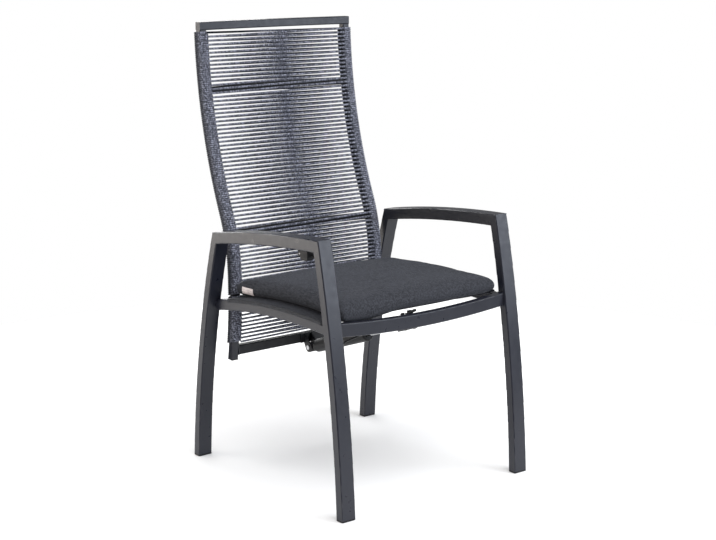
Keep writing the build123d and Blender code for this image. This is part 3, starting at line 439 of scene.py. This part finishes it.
def woven(name, colour, thread, roughness=0.9, contrast=0.42):
    """Woven cloth: threads that cross over and under, flecked with lighter and darker yarn."""
    material, tree, shader = start_material(name, Roughness=roughness, Specular_IOR_Level=0.2,
                                            Sheen_Weight=0.1, Sheen_Roughness=0.45,
                                            Sheen_Tint=(0.6, 0.64, 0.75, 1.0))
    place = object_place(tree)
    parts = add_node(tree, "ShaderNodeSeparateXYZ", {0: place})
    turn = 2 * math.pi / thread
    lower = calculate(tree, "ADD", parts.outputs[1], parts.outputs[2])
    warp = calculate(tree, "SINE", calculate(tree, "MULTIPLY", parts.outputs[0], turn))
    weft = calculate(tree, "SINE", calculate(tree, "MULTIPLY", lower, turn))
    weave = calculate(tree, "MULTIPLY", warp, weft)
    along = speckle(tree, place, 420, 2, (1.0, 0.4, 0.4))
    across = speckle(tree, place, 420, 2, (0.4, 1.0, 1.0))
    fleck = calculate(tree, "MULTIPLY", calculate(tree, "ADD", along, across), 0.5)
    slubs = speckle(tree, place, 330, 2, (1.0, 0.25, 0.8))
    flecked = calculate(tree, "MULTIPLY", calculate(tree, "ADD", fleck, slubs), 0.5)
    tone = spread(tree, flecked, 0.43, 0.57)
    base = blend_colours(tree, tone, shade(colour, 1 - contrast), shade(colour, 1 + contrast))
    pressed = spread(tree, speckle(tree, place, 14, 3), 0.35, 0.65)
    worn = blend_colours(tree, calculate(tree, "MULTIPLY", pressed, 0.35), base, shade(colour, 1.2))
    feed(tree, shader, Base_Color=worn)
    height = calculate(tree, "ADD", calculate(tree, "MULTIPLY", weave, 0.6), fleck)
    raise_surface(tree, shader, height, 0.25 * MM, 0.6)
    return material


def coat(nodes, material):
    """Gives a material to CAD nodes, named in full or by the start of their name."""
    for name, node in NODES.items():
        if any(name.startswith(start) for start in nodes):
            node.data.materials.clear()
            node.data.materials.append(material)


def dress(piece, material, body, replaced=()):
    """Finishes a new piece: its material, the body that it rides on and what it stands for."""
    piece.data.materials.append(material)
    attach(piece, body)
    if replaced:
        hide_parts(*replaced)


# Operators

class CHAIR_OT_coat_frame(bpy.types.Operator):
    """Coat every tube of the side frames, the seat and the back"""
    bl_idname = "chair.coat_frame"
    bl_label = "Coat the frame"

    # How dark and how much rougher the painted shade copy of the coating is
    inner_shade = 0.3
    inner_extra_roughness = 0.25

    def execute(self, context):
        look = context.scene.chair_frame
        tubes = coating("frame_coating", look.colour, look.roughness)
        coat(("front_leg", "rear_leg", "armrest", "seat_side_rail", "seat_front_rail", "seat_cross_tube",
              "seat_rail_bosses", "back_tube_left", "back_tube_right", "back_top_rail"), tubes)
        # Painted shade: the bars, the bottom rail and the spring brackets get a darker copy of the coating,
        # for the shade they sit in behind the rope and under the seat
        inner = coating("inner_coating", [channel * self.inner_shade for channel in look.colour],
                        look.roughness + self.inner_extra_roughness)
        coat(("back_upper_bar", "back_lower_bar", "back_bottom_rail", "spring_front_bracket",
              "spring_back_bracket"), inner)
        return {"FINISHED"}


class CHAIR_OT_lay_beads(bpy.types.Operator):
    """Lay a weld bead round each end of the front rail, the cross tube and the bottom rail"""
    bl_idname = "chair.lay_beads"
    bl_label = "Lay the weld beads"

    end_band = 2 * MM
    corner = 2.5 * MM
    corner_steps = 6
    ripple_depth = 0.14
    ripple_length = 2.2 * MM
    bead_sides = 8
    tubes = {"seat_front_rail": "frame", "seat_cross_tube": "frame", "back_bottom_rail": "back"}

    def ring(self, name, side, radius):
        """Points round the end of a tube that runs across, just outside its walls."""
        mesh = NODES[name].data
        reach = max(side * point.co.x for point in mesh.vertices)
        rim = [point.co for point in mesh.vertices if side * point.co.x > reach - self.end_band]
        low = Vector((min(point.y for point in rim), min(point.z for point in rim)))
        high = Vector((max(point.y for point in rim), max(point.z for point in rim)))
        run = []
        for quarter, (place, height) in enumerate(((high.x, high.y), (low.x, high.y), (low.x, low.y),
                                                   (high.x, low.y))):
            inward = Vector((-1 if place == high.x else 1, -1 if height == high.y else 1)) * self.corner
            for step in range(self.corner_steps + 1):
                angle = (quarter + step / self.corner_steps) * math.pi / 2
                run.append(Vector((side * (reach - radius / 2),
                                   place + inward.x + self.corner * math.cos(angle),
                                   height + inward.y + self.corner * math.sin(angle))))
        run.append(run[0].copy())
        return self.finer(run)

    def finer(self, run):
        """The same line with a point every millimetre, for the ripples."""
        made = []
        for start, end in zip(run, run[1:]):
            steps = max(1, round((end - start).length / MM))
            made.extend(start.lerp(end, step / steps) for step in range(steps))
        return made + [run[-1]]

    def execute(self, context):
        look = context.scene.chair_frame
        radius = look.bead / 2

        def ripple(travelled):
            return 1 + self.ripple_depth * math.sin(travelled * 2 * math.pi / self.ripple_length)

        bead = coating("bead_coating", look.colour, look.roughness)
        for name, body in self.tubes.items():
            rings = [self.ring(name, side, radius) for side in (-1, 1)]
            piece = link_mesh(f"{name}_beads", *sweep_round(rings, radius, self.bead_sides, ripple))
            dress(piece, bead, body)
        return {"FINISHED"}


class CHAIR_OT_finish_hardware(bpy.types.Operator):
    """Finish the bolts, the pins, the gas spring and its release head"""
    bl_idname = "chair.finish_hardware"
    bl_label = "Finish the fittings"

    def execute(self, context):
        coat(("seat_frame_bolts", "pivot_bolt", "spring_front_pin", "spring_back_pin", "valve_pin"),
             metal("zinc_plate", (0.42, 0.43, 0.45), 0.34))
        coat(("release_crank_pin", "release_wire"), metal("blackened_steel", (0.05, 0.05, 0.053), 0.4))
        coat(("gas_spring_rod",), metal("chromed_rod", (0.72, 0.73, 0.75), 0.12, (0.1, 1, 1)))
        coat(("gas_spring_cylinder", "gas_spring_gland", "gas_spring_eye", "release_cable_ferrule"),
             metal("cylinder_paint", (0.007, 0.007, 0.008), 0.42, metallic=0.0))
        coat(("release_head", "release_crank"), metal("cast_head", (0.02, 0.02, 0.022), 0.5, metallic=0.3))
        return {"FINISHED"}


class CHAIR_OT_finish_plastics(bpy.types.Operator):
    """Finish the glides, plugs, bushes, the release housing and its lever"""
    bl_idname = "chair.finish_plastics"
    bl_label = "Finish the plastics"

    def execute(self, context):
        coat(("foot_glide", "back_tube_plug", "release_housing", "release_lever", "release_cable_clips"),
             moulded("black_plastic", (0.006, 0.006, 0.007)))
        coat(("pivot_bush",), moulded("bush_plastic", (0.06, 0.06, 0.062), 0.42))
        coat(("release_lever_pin",), metal("lever_pin_plate", (0.55, 0.56, 0.58), 0.34))
        return {"FINISHED"}


class CHAIR_OT_wind_rope(bpy.types.Operator):
    """Wind the rope round both back tubes, row by row"""
    bl_idname = "chair.wind_rope"
    bl_label = "Wind the rope"

    tube_half = 10 * MM
    inner_face = 221 * MM
    outer_face = 241 * MM
    play = 0.1 * MM
    pivot_height = 430 * MM
    flange_radius = 8 * MM
    bars = (950 * MM, 591 * MM)
    bar_height = 18 * MM
    bar_depth = 14 * MM
    bar_bow = 16 * MM
    bend_inside = 2.5 * MM
    bend_steps = 3
    wander = 0.3 * MM
    wander_scales = (900, 2.3, 300)
    span_steps = 14
    flange_turns = 3
    climb_shares = (0.3, 0.5, 0.7)
    rope_sides = 8
    plait = 5 * MM
    plait_strands = 2

    # Tones of the painted light, from 0 for full painted shade to 1 for none, by how far a point faces the
    # sitter
    middle_half = 62 * MM
    side_tone = 0.18
    facing_gain = 0.9
    middle_tone = 0.8
    inner_share = 0.2
    rear_start = 0.98
    rear_fade = 0.12

    def place(self, look, height, across, depth):
        """Point of a turn that crosses the tubes' centre line at a height; depth is toward the sitter."""
        lean = back_line(height)[1]
        share = (height - look.low) / (look.high - look.low)
        slope = look.low_slope + (look.high_slope - look.low_slope) * share
        along = height - depth * math.tan(lean - slope) * math.cos(lean)
        centre, lean = back_line(along)
        return Vector((across, centre - depth * math.cos(lean), along + depth * math.sin(lean)))

    def clear_of_pivot(self, look, height, depth):
        """A height moved off the pivot's flange, each turn lying against the last."""
        below = math.ceil((self.pivot_height - height) / self.pitch) if height < self.pivot_height else 0
        above = math.ceil((height - self.pivot_height) / self.pitch) if height >= self.pivot_height else 0
        order = max(below, above) - 1
        reach = self.flange_radius + look.diameter / 2 + self.play + order * look.diameter
        if order >= self.flange_turns or reach <= abs(depth):
            return height
        rise = math.sqrt(reach ** 2 - depth ** 2)
        if below:
            return min(height, self.pivot_height - rise)
        return max(height, self.pivot_height + rise)

    def behind_bars(self, look, point):
        """A rear point pushed out where a bowed bar stands behind the row."""
        for low in self.bars:
            middle = low + self.bar_height / 2
            if abs(point.z - middle) < (self.bar_height + look.diameter) / 2 + self.play:
                bow = self.bar_bow * (1 - (point.x / self.inner_face) ** 2)
                rear = back_line(middle)[0] + self.bar_depth / 2 + bow + look.diameter / 2 + self.play
                point.y = max(point.y, rear)
        return point

    def span(self, look, height, side, depth):
        """A pass between the tubes that rises half a pitch, from one side to the other."""
        run = []
        for step in range(self.span_steps + 1):
            share = step / self.span_steps
            across = side * self.inner * (1 - 2 * share)
            loose = math.sin(math.pi * share)
            spot = Vector([size * scale for size, scale in zip((height, share, depth), self.wander_scales)])
            astray = noise.noise(spot) * self.wander * loose
            point = self.place(look, height + share * self.pitch / 2 + astray, across, depth)
            if depth < 0:
                point = self.behind_bars(look, point)
            run.append(point)
        return run

    def corner(self, outside, start):
        """Points of a quarter turn at a corner of the tube, from an angle given in quarter turns."""
        across = self.outer - self.bend if outside else self.inner + self.bend
        toward = self.reach - self.bend if start > 0 else self.bend - self.reach
        return corner_points((across, toward), start, self.bend, self.bend_steps)

    def wrap(self, look, height, side, depth):
        """Half a turn round the outside of one tube, from one face to the other."""
        turn = self.corner(1, 1)
        turn += [(self.outer, self.reach / 3), (self.outer, 0), (self.outer, -self.reach / 3)]
        turn += self.corner(1, 0)
        turn.append((self.inner + self.bend, -self.reach))
        run = []
        for across, toward in turn:
            toward *= math.copysign(1, depth)
            beside = abs(across) > self.outer - self.bend / 2
            level = self.clear_of_pivot(look, height, toward) if beside else height
            run.append(self.place(look, level, side * across, toward))
        return run

    def sleeve(self, look, side, heights):
        """Turns round one tube only, which lie between the rows and climb on the inner face."""
        turn = self.corner(0, 2) + self.corner(1, 1) + [(self.outer, 0)]
        turn += self.corner(1, 0) + self.corner(0, -1)
        run = []
        for height in heights:
            run.extend(self.place(look, height, side * across, toward) for across, toward in turn)
            for share in self.climb_shares:
                toward = (2 * share - 1) * (self.reach - self.bend)
                run.append(self.place(look, height + share * self.pitch, side * self.inner, toward))
        return run

    def paint_rope_light(self, piece, rows_end):
        """Notes each point's share of painted light: most in front, mid-row and at the far rear, painted
        shade elsewhere.
        """
        tones = []
        for index, point in enumerate(piece.data.vertices):
            centre, lean = back_line(point.co.z)
            toward = (centre - point.co.y) / math.cos(lean) / self.reach
            tone = clamp(self.side_tone + self.facing_gain * toward)
            inward = self.inner_face - abs(point.co.x)
            if index < rows_end and inward > 0:
                middle = clamp(1.5 - abs(point.co.x) / self.middle_half)
                tone = max(tone, self.middle_tone * middle * middle * (3 - 2 * middle))
            elif inward > 0:
                tone *= self.inner_share
            tones.append(max(tone, clamp((-toward - self.rear_start) / self.rear_fade)))
        layer = piece.data.attributes.new("bleached", "FLOAT", "POINT")
        layer.data.foreach_set("value", tones)

    def execute(self, context):
        look = context.scene.chair_rope
        self.pitch = (look.high - look.low) / look.rows
        self.reach = self.tube_half + self.play + look.diameter / 2
        self.bend = look.diameter / 2 + self.bend_inside
        self.outer = self.outer_face + self.play + look.diameter / 2
        self.inner = self.inner_face - self.play - look.diameter / 2
        rows = []
        for row in range(look.rows):
            left = look.low + (row + 0.25) * self.pitch
            right = left + self.pitch / 2
            rows.extend(self.span(look, left, -1, self.reach))
            rows.extend(self.wrap(look, right, 1, self.reach))
            rows.extend(self.span(look, right, 1, -self.reach))
            rows.extend(self.wrap(look, left + self.pitch, -1, -self.reach))
        sleeves = []
        keep_off = 2 * self.pitch
        for side, share in ((-1, 0.75), (1, 0.25)):
            start = look.low + share * self.pitch
            heights = [start + turn * self.pitch for turn in range(look.rows)]
            below = [height for height in heights if height < self.pivot_height - keep_off]
            above = [height for height in heights if height > self.pivot_height + keep_off]
            sleeves += [self.sleeve(look, side, below), self.sleeve(look, side, above)]
        parts = sweep_round([rows] + sleeves, look.diameter / 2, self.rope_sides)
        piece = link_mesh("rope_winding", *parts)
        # Paints light and shade onto the rope as a share per point
        self.paint_rope_light(piece, len(rows) * self.rope_sides)
        yarn = braided("rope_yarn", look.colour, look.shaded, self.plait, self.plait_strands)
        dress(piece, yarn, "back", ("back_rope",))
        return {"FINISHED"}


class CHAIR_OT_stretch_sling(bpy.types.Operator):
    """Stretch the mesh cloth over the seat rails and hem its ends"""
    bl_idname = "chair.stretch_sling"
    bl_label = "Stretch the mesh seat"

    front = -214 * MM - ORIGIN_SHIFT
    rear = 184 * MM - ORIGIN_SHIFT
    lip = 9 * MM
    fold = 1.2 * MM
    play = 0.1 * MM
    hem = 6 * MM
    hem_inset = 22.5 * MM
    hem_sides = 14
    rows = 48
    columns = 40

    def execute(self, context):
        look = context.scene.chair_sling
        level = SLING_TOP - look.thickness / 2
        side = RAIL_OUTER + self.play + look.thickness / 2
        shares = [2 * step / self.columns - 1 for step in range(self.columns + 1)]
        section = [(-side, -self.lip), (-side, -self.lip / 2), (-side, -self.fold), (self.fold - side, 0)]
        section += [(side * share, 0) for share in shares[1:-1]]
        section += [(side - self.fold, 0), (side, -self.fold), (side, -self.lip / 2), (side, -self.lip)]
        points = []
        for row in range(self.rows + 1):
            place = self.front + (self.rear - self.front) * row / self.rows
            points.extend((across, place, seat_line(place, level + drop)) for across, drop in section)
        cloth = link_mesh("seat_mesh_cloth", points, grid_faces(self.rows + 1, len(section)))
        thicken(cloth, look.thickness)
        material = woven("sling_threads", look.colour, look.thread, 0.6, 0.5)
        dress(cloth, material, "frame", ("seat_sling",))
        ends = []
        for place in (self.front, self.rear):
            height = seat_line(place, SLING_TOP - self.hem / 2)
            half = RAIL_OUTER - self.hem_inset
            ends.append([Vector((half * share, place, height)) for share in shares])
        hems = link_mesh("seat_mesh_hems", *sweep_round(ends, self.hem / 2, self.hem_sides))
        dress(hems, material, "frame", ("seat_sling",))
        return {"FINISHED"}


class CHAIR_OT_fill_cushion(bpy.types.Operator):
    """Cut the cushion from its solid, fill it with a cloth simulation, and sew its welt"""
    bl_idname = "chair.fill_cushion"
    bl_label = "Fill and sew the cushion"

    side_limit = 257 * MM
    rear_limit = 199.5 * MM - ORIGIN_SHIFT
    front_limit = -259 * MM - ORIGIN_SHIFT
    sling_front = -216 * MM - ORIGIN_SHIFT
    rail_top = 465 * MM
    rail_dip = 12.5 * MM
    rail_half = 260 * MM
    start_share = 0.94
    rest_gap = 0.2 * MM
    mass = 0.3
    last_frame = 20

    # Where the front edge sinks onto the rail, toward the sitter's right, and where its corner sinks more
    overhang = 32 * MM
    sink_start = -77 * MM
    sink_width = 82 * MM
    sink = 1.2 * MM
    corner_start = -155 * MM
    corner_width = 50 * MM
    corner_sink = 3.6 * MM
    low_band = 20 * MM
    curl = 9 * MM
    push = 7 * MM

    welt_height = 3.6 * MM
    welt_points = 260
    welt_sides = 8
    # The welt's colour against the cloth's: its own dark piping colour, darkened further as painted shade for
    # the shadow line under the cushion's edge
    welt_painted_shade = 0.25
    squareness = 8
    ray_start = 30 * MM
    cloth_thread = 1.3 * MM
    welt_thread = 0.9 * MM

    def cut(self, context, look):
        """The starting shape: the solid's mesh, made even, drawn in by the slack and a little lower."""
        mesh = NODES["seat_cushion"].data.copy()
        mesh.materials.clear()
        piece = stand("cushion_cover", mesh)
        remesh = piece.modifiers.new("Even mesh", "REMESH")
        remesh.mode = "VOXEL"
        remesh.voxel_size = look.voxel
        self.settle(context, piece)
        low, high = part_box("seat_cushion")
        middle = (Vector(low) + Vector(high)) / 2
        half = (Vector(high) - Vector(low)) / 2
        for point in piece.data.vertices:
            for axis in (0, 1):
                away = point.co[axis] - middle[axis]
                point.co[axis] = middle[axis] + away * (1 - look.slack / half[axis])
            base = seat_line(point.co.y, CUSHION_BASE)
            point.co.z = base + (point.co.z - base) * self.start_share
        return piece

    def settle(self, context, piece):
        """Applies what the piece's modifiers make of it."""
        shaped = piece.evaluated_get(context.evaluated_depsgraph_get())
        mesh = bpy.data.meshes.new_from_object(shaped)
        piece.modifiers.clear()
        piece.data = mesh

    def fill(self, context, piece, look):
        """Swells the cover with the cloth simulation, and caps how far each point may move."""
        rest = [point.co.copy() for point in piece.data.vertices]
        filling = piece.modifiers.new("Filling", "CLOTH")
        filling.settings.use_pressure = True
        filling.settings.uniform_pressure_force = look.pressure
        filling.settings.effector_weights.gravity = 0
        filling.settings.mass = self.mass
        filling.point_cache.frame_start = 1
        filling.point_cache.frame_end = self.last_frame
        for step in range(1, self.last_frame + 1):
            context.scene.frame_set(step)
        self.settle(context, piece)
        context.scene.frame_set(1)
        for point, start in zip(piece.data.vertices, rest):
            moved = point.co - start
            if moved.length > look.swell:
                point.co = start + moved.normalized() * look.swell

    def limit(self, piece):
        """Keeps the cover on the sling, between the legs and in front of the back."""
        for point in piece.data.vertices:
            point.co.x = max(-self.side_limit, min(self.side_limit, point.co.x))
            point.co.y = max(self.front_limit, min(self.rear_limit, point.co.y))
            point.co.z = max(point.co.z, seat_line(point.co.y, CUSHION_BASE + self.rest_gap))

    def hang(self, across, place):
        """How far the front edge can hang below the seat line, onto the rail, and what share does."""
        over = clamp((self.sling_front - place) / self.overhang)
        beside = clamp((self.sink_start - across) / self.sink_width)
        corner = clamp((self.corner_start - across) / self.corner_width)
        rail = self.rail_top - self.rail_dip * (1 - (across / self.rail_half) ** 2)
        room = seat_line(place, CUSHION_BASE) - rail + self.sink + self.corner_sink * corner
        return max(0, room) * over ** 2 * (3 - 2 * over), over * beside

    def droop(self, piece):
        """Lets the front edge sink onto the rail at the sitter's right, and squares its low edge there."""
        for point in piece.data.vertices:
            room, share = self.hang(point.co.x, point.co.y)
            if not share:
                continue
            base = seat_line(point.co.y, CUSHION_BASE)
            low = clamp(1 - (point.co.z - base) / self.low_band)
            point.co.z = max(base - room * share, point.co.z - (room + self.curl * low) * share)
            point.co.y -= self.push * low * share

    def welt_line(self, piece):
        """Points round the cover at its lower edge, found on its own surface."""
        low, high = (Vector(corner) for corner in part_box("seat_cushion"))
        centre = Vector(((low.x + high.x) / 2, (low.y + high.y) / 2))
        half = Vector(((high.x - low.x) / 2, (high.y - low.y) / 2))
        power = self.squareness
        run = []
        for step in range(self.welt_points + 1):
            angle = 2 * math.pi * step / self.welt_points - math.pi / 2
            ray = Vector((math.cos(angle), math.sin(angle)))
            reach = (abs(ray.x) ** power + abs(ray.y) ** power) ** (-1 / power)
            aim = centre + Vector((ray.x * half.x, ray.y * half.y)) * reach
            room, share = self.hang(aim.x, aim.y)
            level = seat_line(aim.y, CUSHION_BASE + self.welt_height)
            inward = Vector((centre.x - aim.x, centre.y - aim.y, 0)).normalized() * self.ray_start
            inward.z = seat_line(aim.y + inward.y, CUSHION_BASE + self.welt_height) - level
            start = Vector((aim.x, aim.y, level - room * share)) - inward
            run.append(surface_hit(piece, start, inward))
        return run

    def execute(self, context):
        look = context.scene.chair_cushion
        piece = self.cut(context, look)
        self.fill(context, piece, look)
        self.limit(piece)
        smooth = piece.modifiers.new("Finer mesh", "SUBSURF")
        smooth.levels = 1
        smooth.render_levels = 1
        self.settle(context, piece)
        self.limit(piece)
        self.droop(piece)
        piece.data.shade_smooth()
        cloth = woven("cushion_cloth", look.colour, self.cloth_thread)
        dress(piece, cloth, "frame", ("seat_cushion",))
        context.view_layer.update()
        run = self.welt_line(piece)
        welt = link_mesh("cushion_welt", *sweep_round([run], look.welt / 2, self.welt_sides))
        # Painted shade: the dark welt is darkened further to stand in for the shadow line along the cushion's
        # base
        tape = woven("welt_cloth", [channel * self.welt_painted_shade for channel in look.colour], self.welt_thread)
        dress(welt, tape, "frame", ("seat_cushion",))
        return {"FINISHED"}


class CHAIR_OT_sew_tag(bpy.types.Operator):
    """Sew the blank tag to the side of the cushion"""
    bl_idname = "chair.sew_tag"
    bl_label = "Sew the blank tag"

    place = 137 * MM - ORIGIN_SHIFT
    above = 46.7 * MM
    width = 44 * MM
    height = 18 * MM
    thickness = 0.4 * MM
    thread = 0.5 * MM
    curl = 2.2 * MM
    play = 0.3 * MM
    wave = 0.35 * MM
    wave_turn = 9
    ray_start = -400 * MM
    columns = 22
    rows = 10

    def execute(self, context):
        cover = bpy.data.objects["cushion_cover"]
        points = []
        for row in range(self.rows + 1):
            for column in range(self.columns + 1):
                along, up = column / self.columns, row / self.rows
                place = self.place + (along - 0.5) * self.width
                height = seat_line(self.place, self.above) + (up - 0.5) * self.height
                hit = surface_hit(cover, Vector((self.ray_start, place, height)), Vector((1, 0, 0)))
                lift = self.curl * (1 - up) ** 2 * (1 - along) ** 2 + self.play
                ripple = self.wave * math.sin(along * self.wave_turn) * (1 - up)
                points.append((hit.x - lift - abs(ripple), place, height))
        tag = link_mesh("cushion_tag", points, grid_faces(self.rows + 1, self.columns + 1))
        thicken(tag, self.thickness)
        look = context.scene.chair_cushion
        cloth = woven("tag_cloth", look.tag_colour, self.thread, 0.75, 0.12)
        dress(tag, cloth, "frame", ("cushion_label",))
        return {"FINISHED"}


class CHAIR_OT_run_cable(bpy.types.Operator):
    """Run the release cable from the housing down the leg and along the front rail"""
    bl_idname = "chair.run_cable"
    bl_label = "Run the release cable"

    def execute(self, context):
        line = bpy.data.curves.new("release_cable_run", "CURVE")
        line.dimensions = "3D"
        line.bevel_depth = CABLE_DIAMETER / 2
        line.bevel_resolution = 4
        line.resolution_u = 12
        line.use_fill_caps = True
        run = line.splines.new("NURBS")
        run.points.add(len(CABLE_ROUTE) - 1)
        for point, (across, place, height) in zip(run.points, CABLE_ROUTE):
            point.co = (across * MM, place * MM - ORIGIN_SHIFT, height * MM, 1)
        run.order_u = 3
        run.use_endpoint_u = True
        cable = stand("release_cable_run", line)
        sheath = moulded("cable_sheath", (0.01, 0.01, 0.011), 0.4)
        dress(cable, sheath, "frame", ("release_cable",))
        across, place, height = CABLE_ROUTE[0]
        return {"FINISHED"}


class CHAIR_OT_set_stage(bpy.types.Operator):
    """Lay the floor, light it softly and place the camera"""
    bl_idname = "chair.set_stage"
    bl_label = "Set the stage"

    # Camera, fitted to the photograph
    target = (1.03 * MM, -ORIGIN_SHIFT, 514.76 * MM)
    place = (-2439.8 * MM, -3078.6 * MM - ORIGIN_SHIFT, 1358.9 * MM)
    lens = 79.25

    floor_radius = 1.9
    floor_drop = 0.4 * MM
    floor_corners = 96
    top_spread = math.radians(80)
    top_lean = math.radians(22)

    # Soft boxes: place, width and height, and colour
    soft_boxes = {
        "key": ((2.0, -3.2, 1.5), (2.4, 2.0), (0.84, 0.9, 1)),
        "side": ((-2.1, 1.9, 0.62), (2.0, 1.2), (1, 0.94, 0.88)),
        "rear": ((0.6, 3.6, 1.2), (3.0, 1.4), (1, 1, 1)),
    }

    def turned(self, place):
        """The turn that makes a lamp or a camera look at the chair from a place."""
        return (Vector(self.target) - Vector(place)).to_track_quat("-Z", "Y").to_euler()

    def lamp(self, name, place, size, power, colour):
        """A soft box of a width and height that looks at the chair, itself unseen."""
        light = bpy.data.lights.new(name, "AREA")
        light.shape = "RECTANGLE"
        light.size, light.size_y = size
        light.energy = power
        light.color = colour
        made = stand(name, light)
        made.location = place
        made.rotation_euler = self.turned(place)
        made.visible_camera = False

    def broad_light(self, strength):
        """Even light from overhead and a little from the front, with very soft shadows."""
        light = bpy.data.lights.new("top_light", "SUN")
        light.energy = strength
        light.angle = self.top_spread
        stand("top_light", light).rotation_euler = (self.top_lean, 0, 0)

    def execute(self, context):
        look = context.scene.chair_stage
        rim = []
        for step in range(self.floor_corners):
            angle = 2 * math.pi * step / self.floor_corners
            rim.append((self.floor_radius * math.cos(angle), self.floor_radius * math.sin(angle),
                        -self.floor_drop))
        floor = link_mesh("floor", rim, [tuple(range(self.floor_corners))])
        material, tree, shader = start_material("floor_paint", Roughness=0.9, Specular_IOR_Level=0.1)
        cloud = spread(tree, speckle(tree, object_place(tree), 2, 3), 0.3, 0.7)
        paint = blend_colours(tree, cloud, shade(look.floor, 0.99), shade(look.floor, 1.01))
        feed(tree, shader, Base_Color=paint)
        floor.data.materials.append(material)
        world = bpy.data.worlds.new("studio")
        world.use_nodes = True
        tree = world.node_tree
        seen = add_node(tree, "ShaderNodeLightPath").outputs["Is Camera Ray"]
        backdrop = tree.nodes["Background"]
        backdrop.inputs["Color"].default_value = (1, 1, 1, 1)
        feed(tree, backdrop, Strength=spread(tree, seen, 0, 1, look.sky, 1))
        context.scene.world = world
        self.broad_light(look.top)
        for name, (place, size, colour) in self.soft_boxes.items():
            self.lamp(f"{name}_light", place, size, getattr(look, name), colour)
        camera = bpy.data.cameras.new("camera")
        camera.sensor_width = 36
        camera.lens = self.lens
        holder = stand("camera", camera)
        holder.location = self.place
        holder.rotation_euler = self.turned(self.place)
        context.scene.camera = holder
        context.scene.view_settings.view_transform = "Standard"
        return {"FINISHED"}


class CHAIR_PT_dress(bpy.types.Panel):
    """Lists the settings and the steps that dress the chair"""
    bl_label = "Armchair"
    bl_idname = "CHAIR_PT_dress"
    bl_space_type = "VIEW_3D"
    bl_region_type = "UI"
    bl_category = "Armchair"

    def draw(self, context):
        for name, group in SETTINGS.items():
            box = self.layout.box()
            for setting in group.__annotations__:
                box.prop(getattr(context.scene, name), setting)
        for step in STEPS:
            self.layout.operator(step.bl_idname)


STEPS = (CHAIR_OT_coat_frame, CHAIR_OT_lay_beads, CHAIR_OT_finish_hardware, CHAIR_OT_finish_plastics,
         CHAIR_OT_wind_rope, CHAIR_OT_stretch_sling, CHAIR_OT_fill_cushion, CHAIR_OT_sew_tag,
         CHAIR_OT_run_cable, CHAIR_OT_set_stage)
SETTINGS = {"chair_frame": FrameSettings, "chair_rope": RopeSettings, "chair_sling": SlingSettings,
            "chair_cushion": CushionSettings, "chair_stage": StageSettings}


def register():
    """Registers the settings, the operators and the panel."""
    for name, group in SETTINGS.items():
        bpy.utils.register_class(group)
        setattr(bpy.types.Scene, name, PointerProperty(type=group))
    for step in STEPS:
        bpy.utils.register_class(step)
    bpy.utils.register_class(CHAIR_PT_dress)


def unregister():
    """Takes away what register adds, in the opposite order."""
    bpy.utils.unregister_class(CHAIR_PT_dress)
    for step in reversed(STEPS):
        bpy.utils.unregister_class(step)
    for name, group in SETTINGS.items():
        delattr(bpy.types.Scene, name)
        bpy.utils.unregister_class(group)


def main():
    """Registers the add-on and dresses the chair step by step."""
    register()
    bpy.ops.chair.coat_frame()
    bpy.ops.chair.lay_beads()
    bpy.ops.chair.finish_hardware()
    bpy.ops.chair.finish_plastics()
    bpy.ops.chair.wind_rope()
    bpy.ops.chair.stretch_sling()
    bpy.ops.chair.fill_cushion()
    bpy.ops.chair.sew_tag()
    bpy.ops.chair.run_cable()
    bpy.ops.chair.set_stage()


if __name__ == "__main__":
    main()
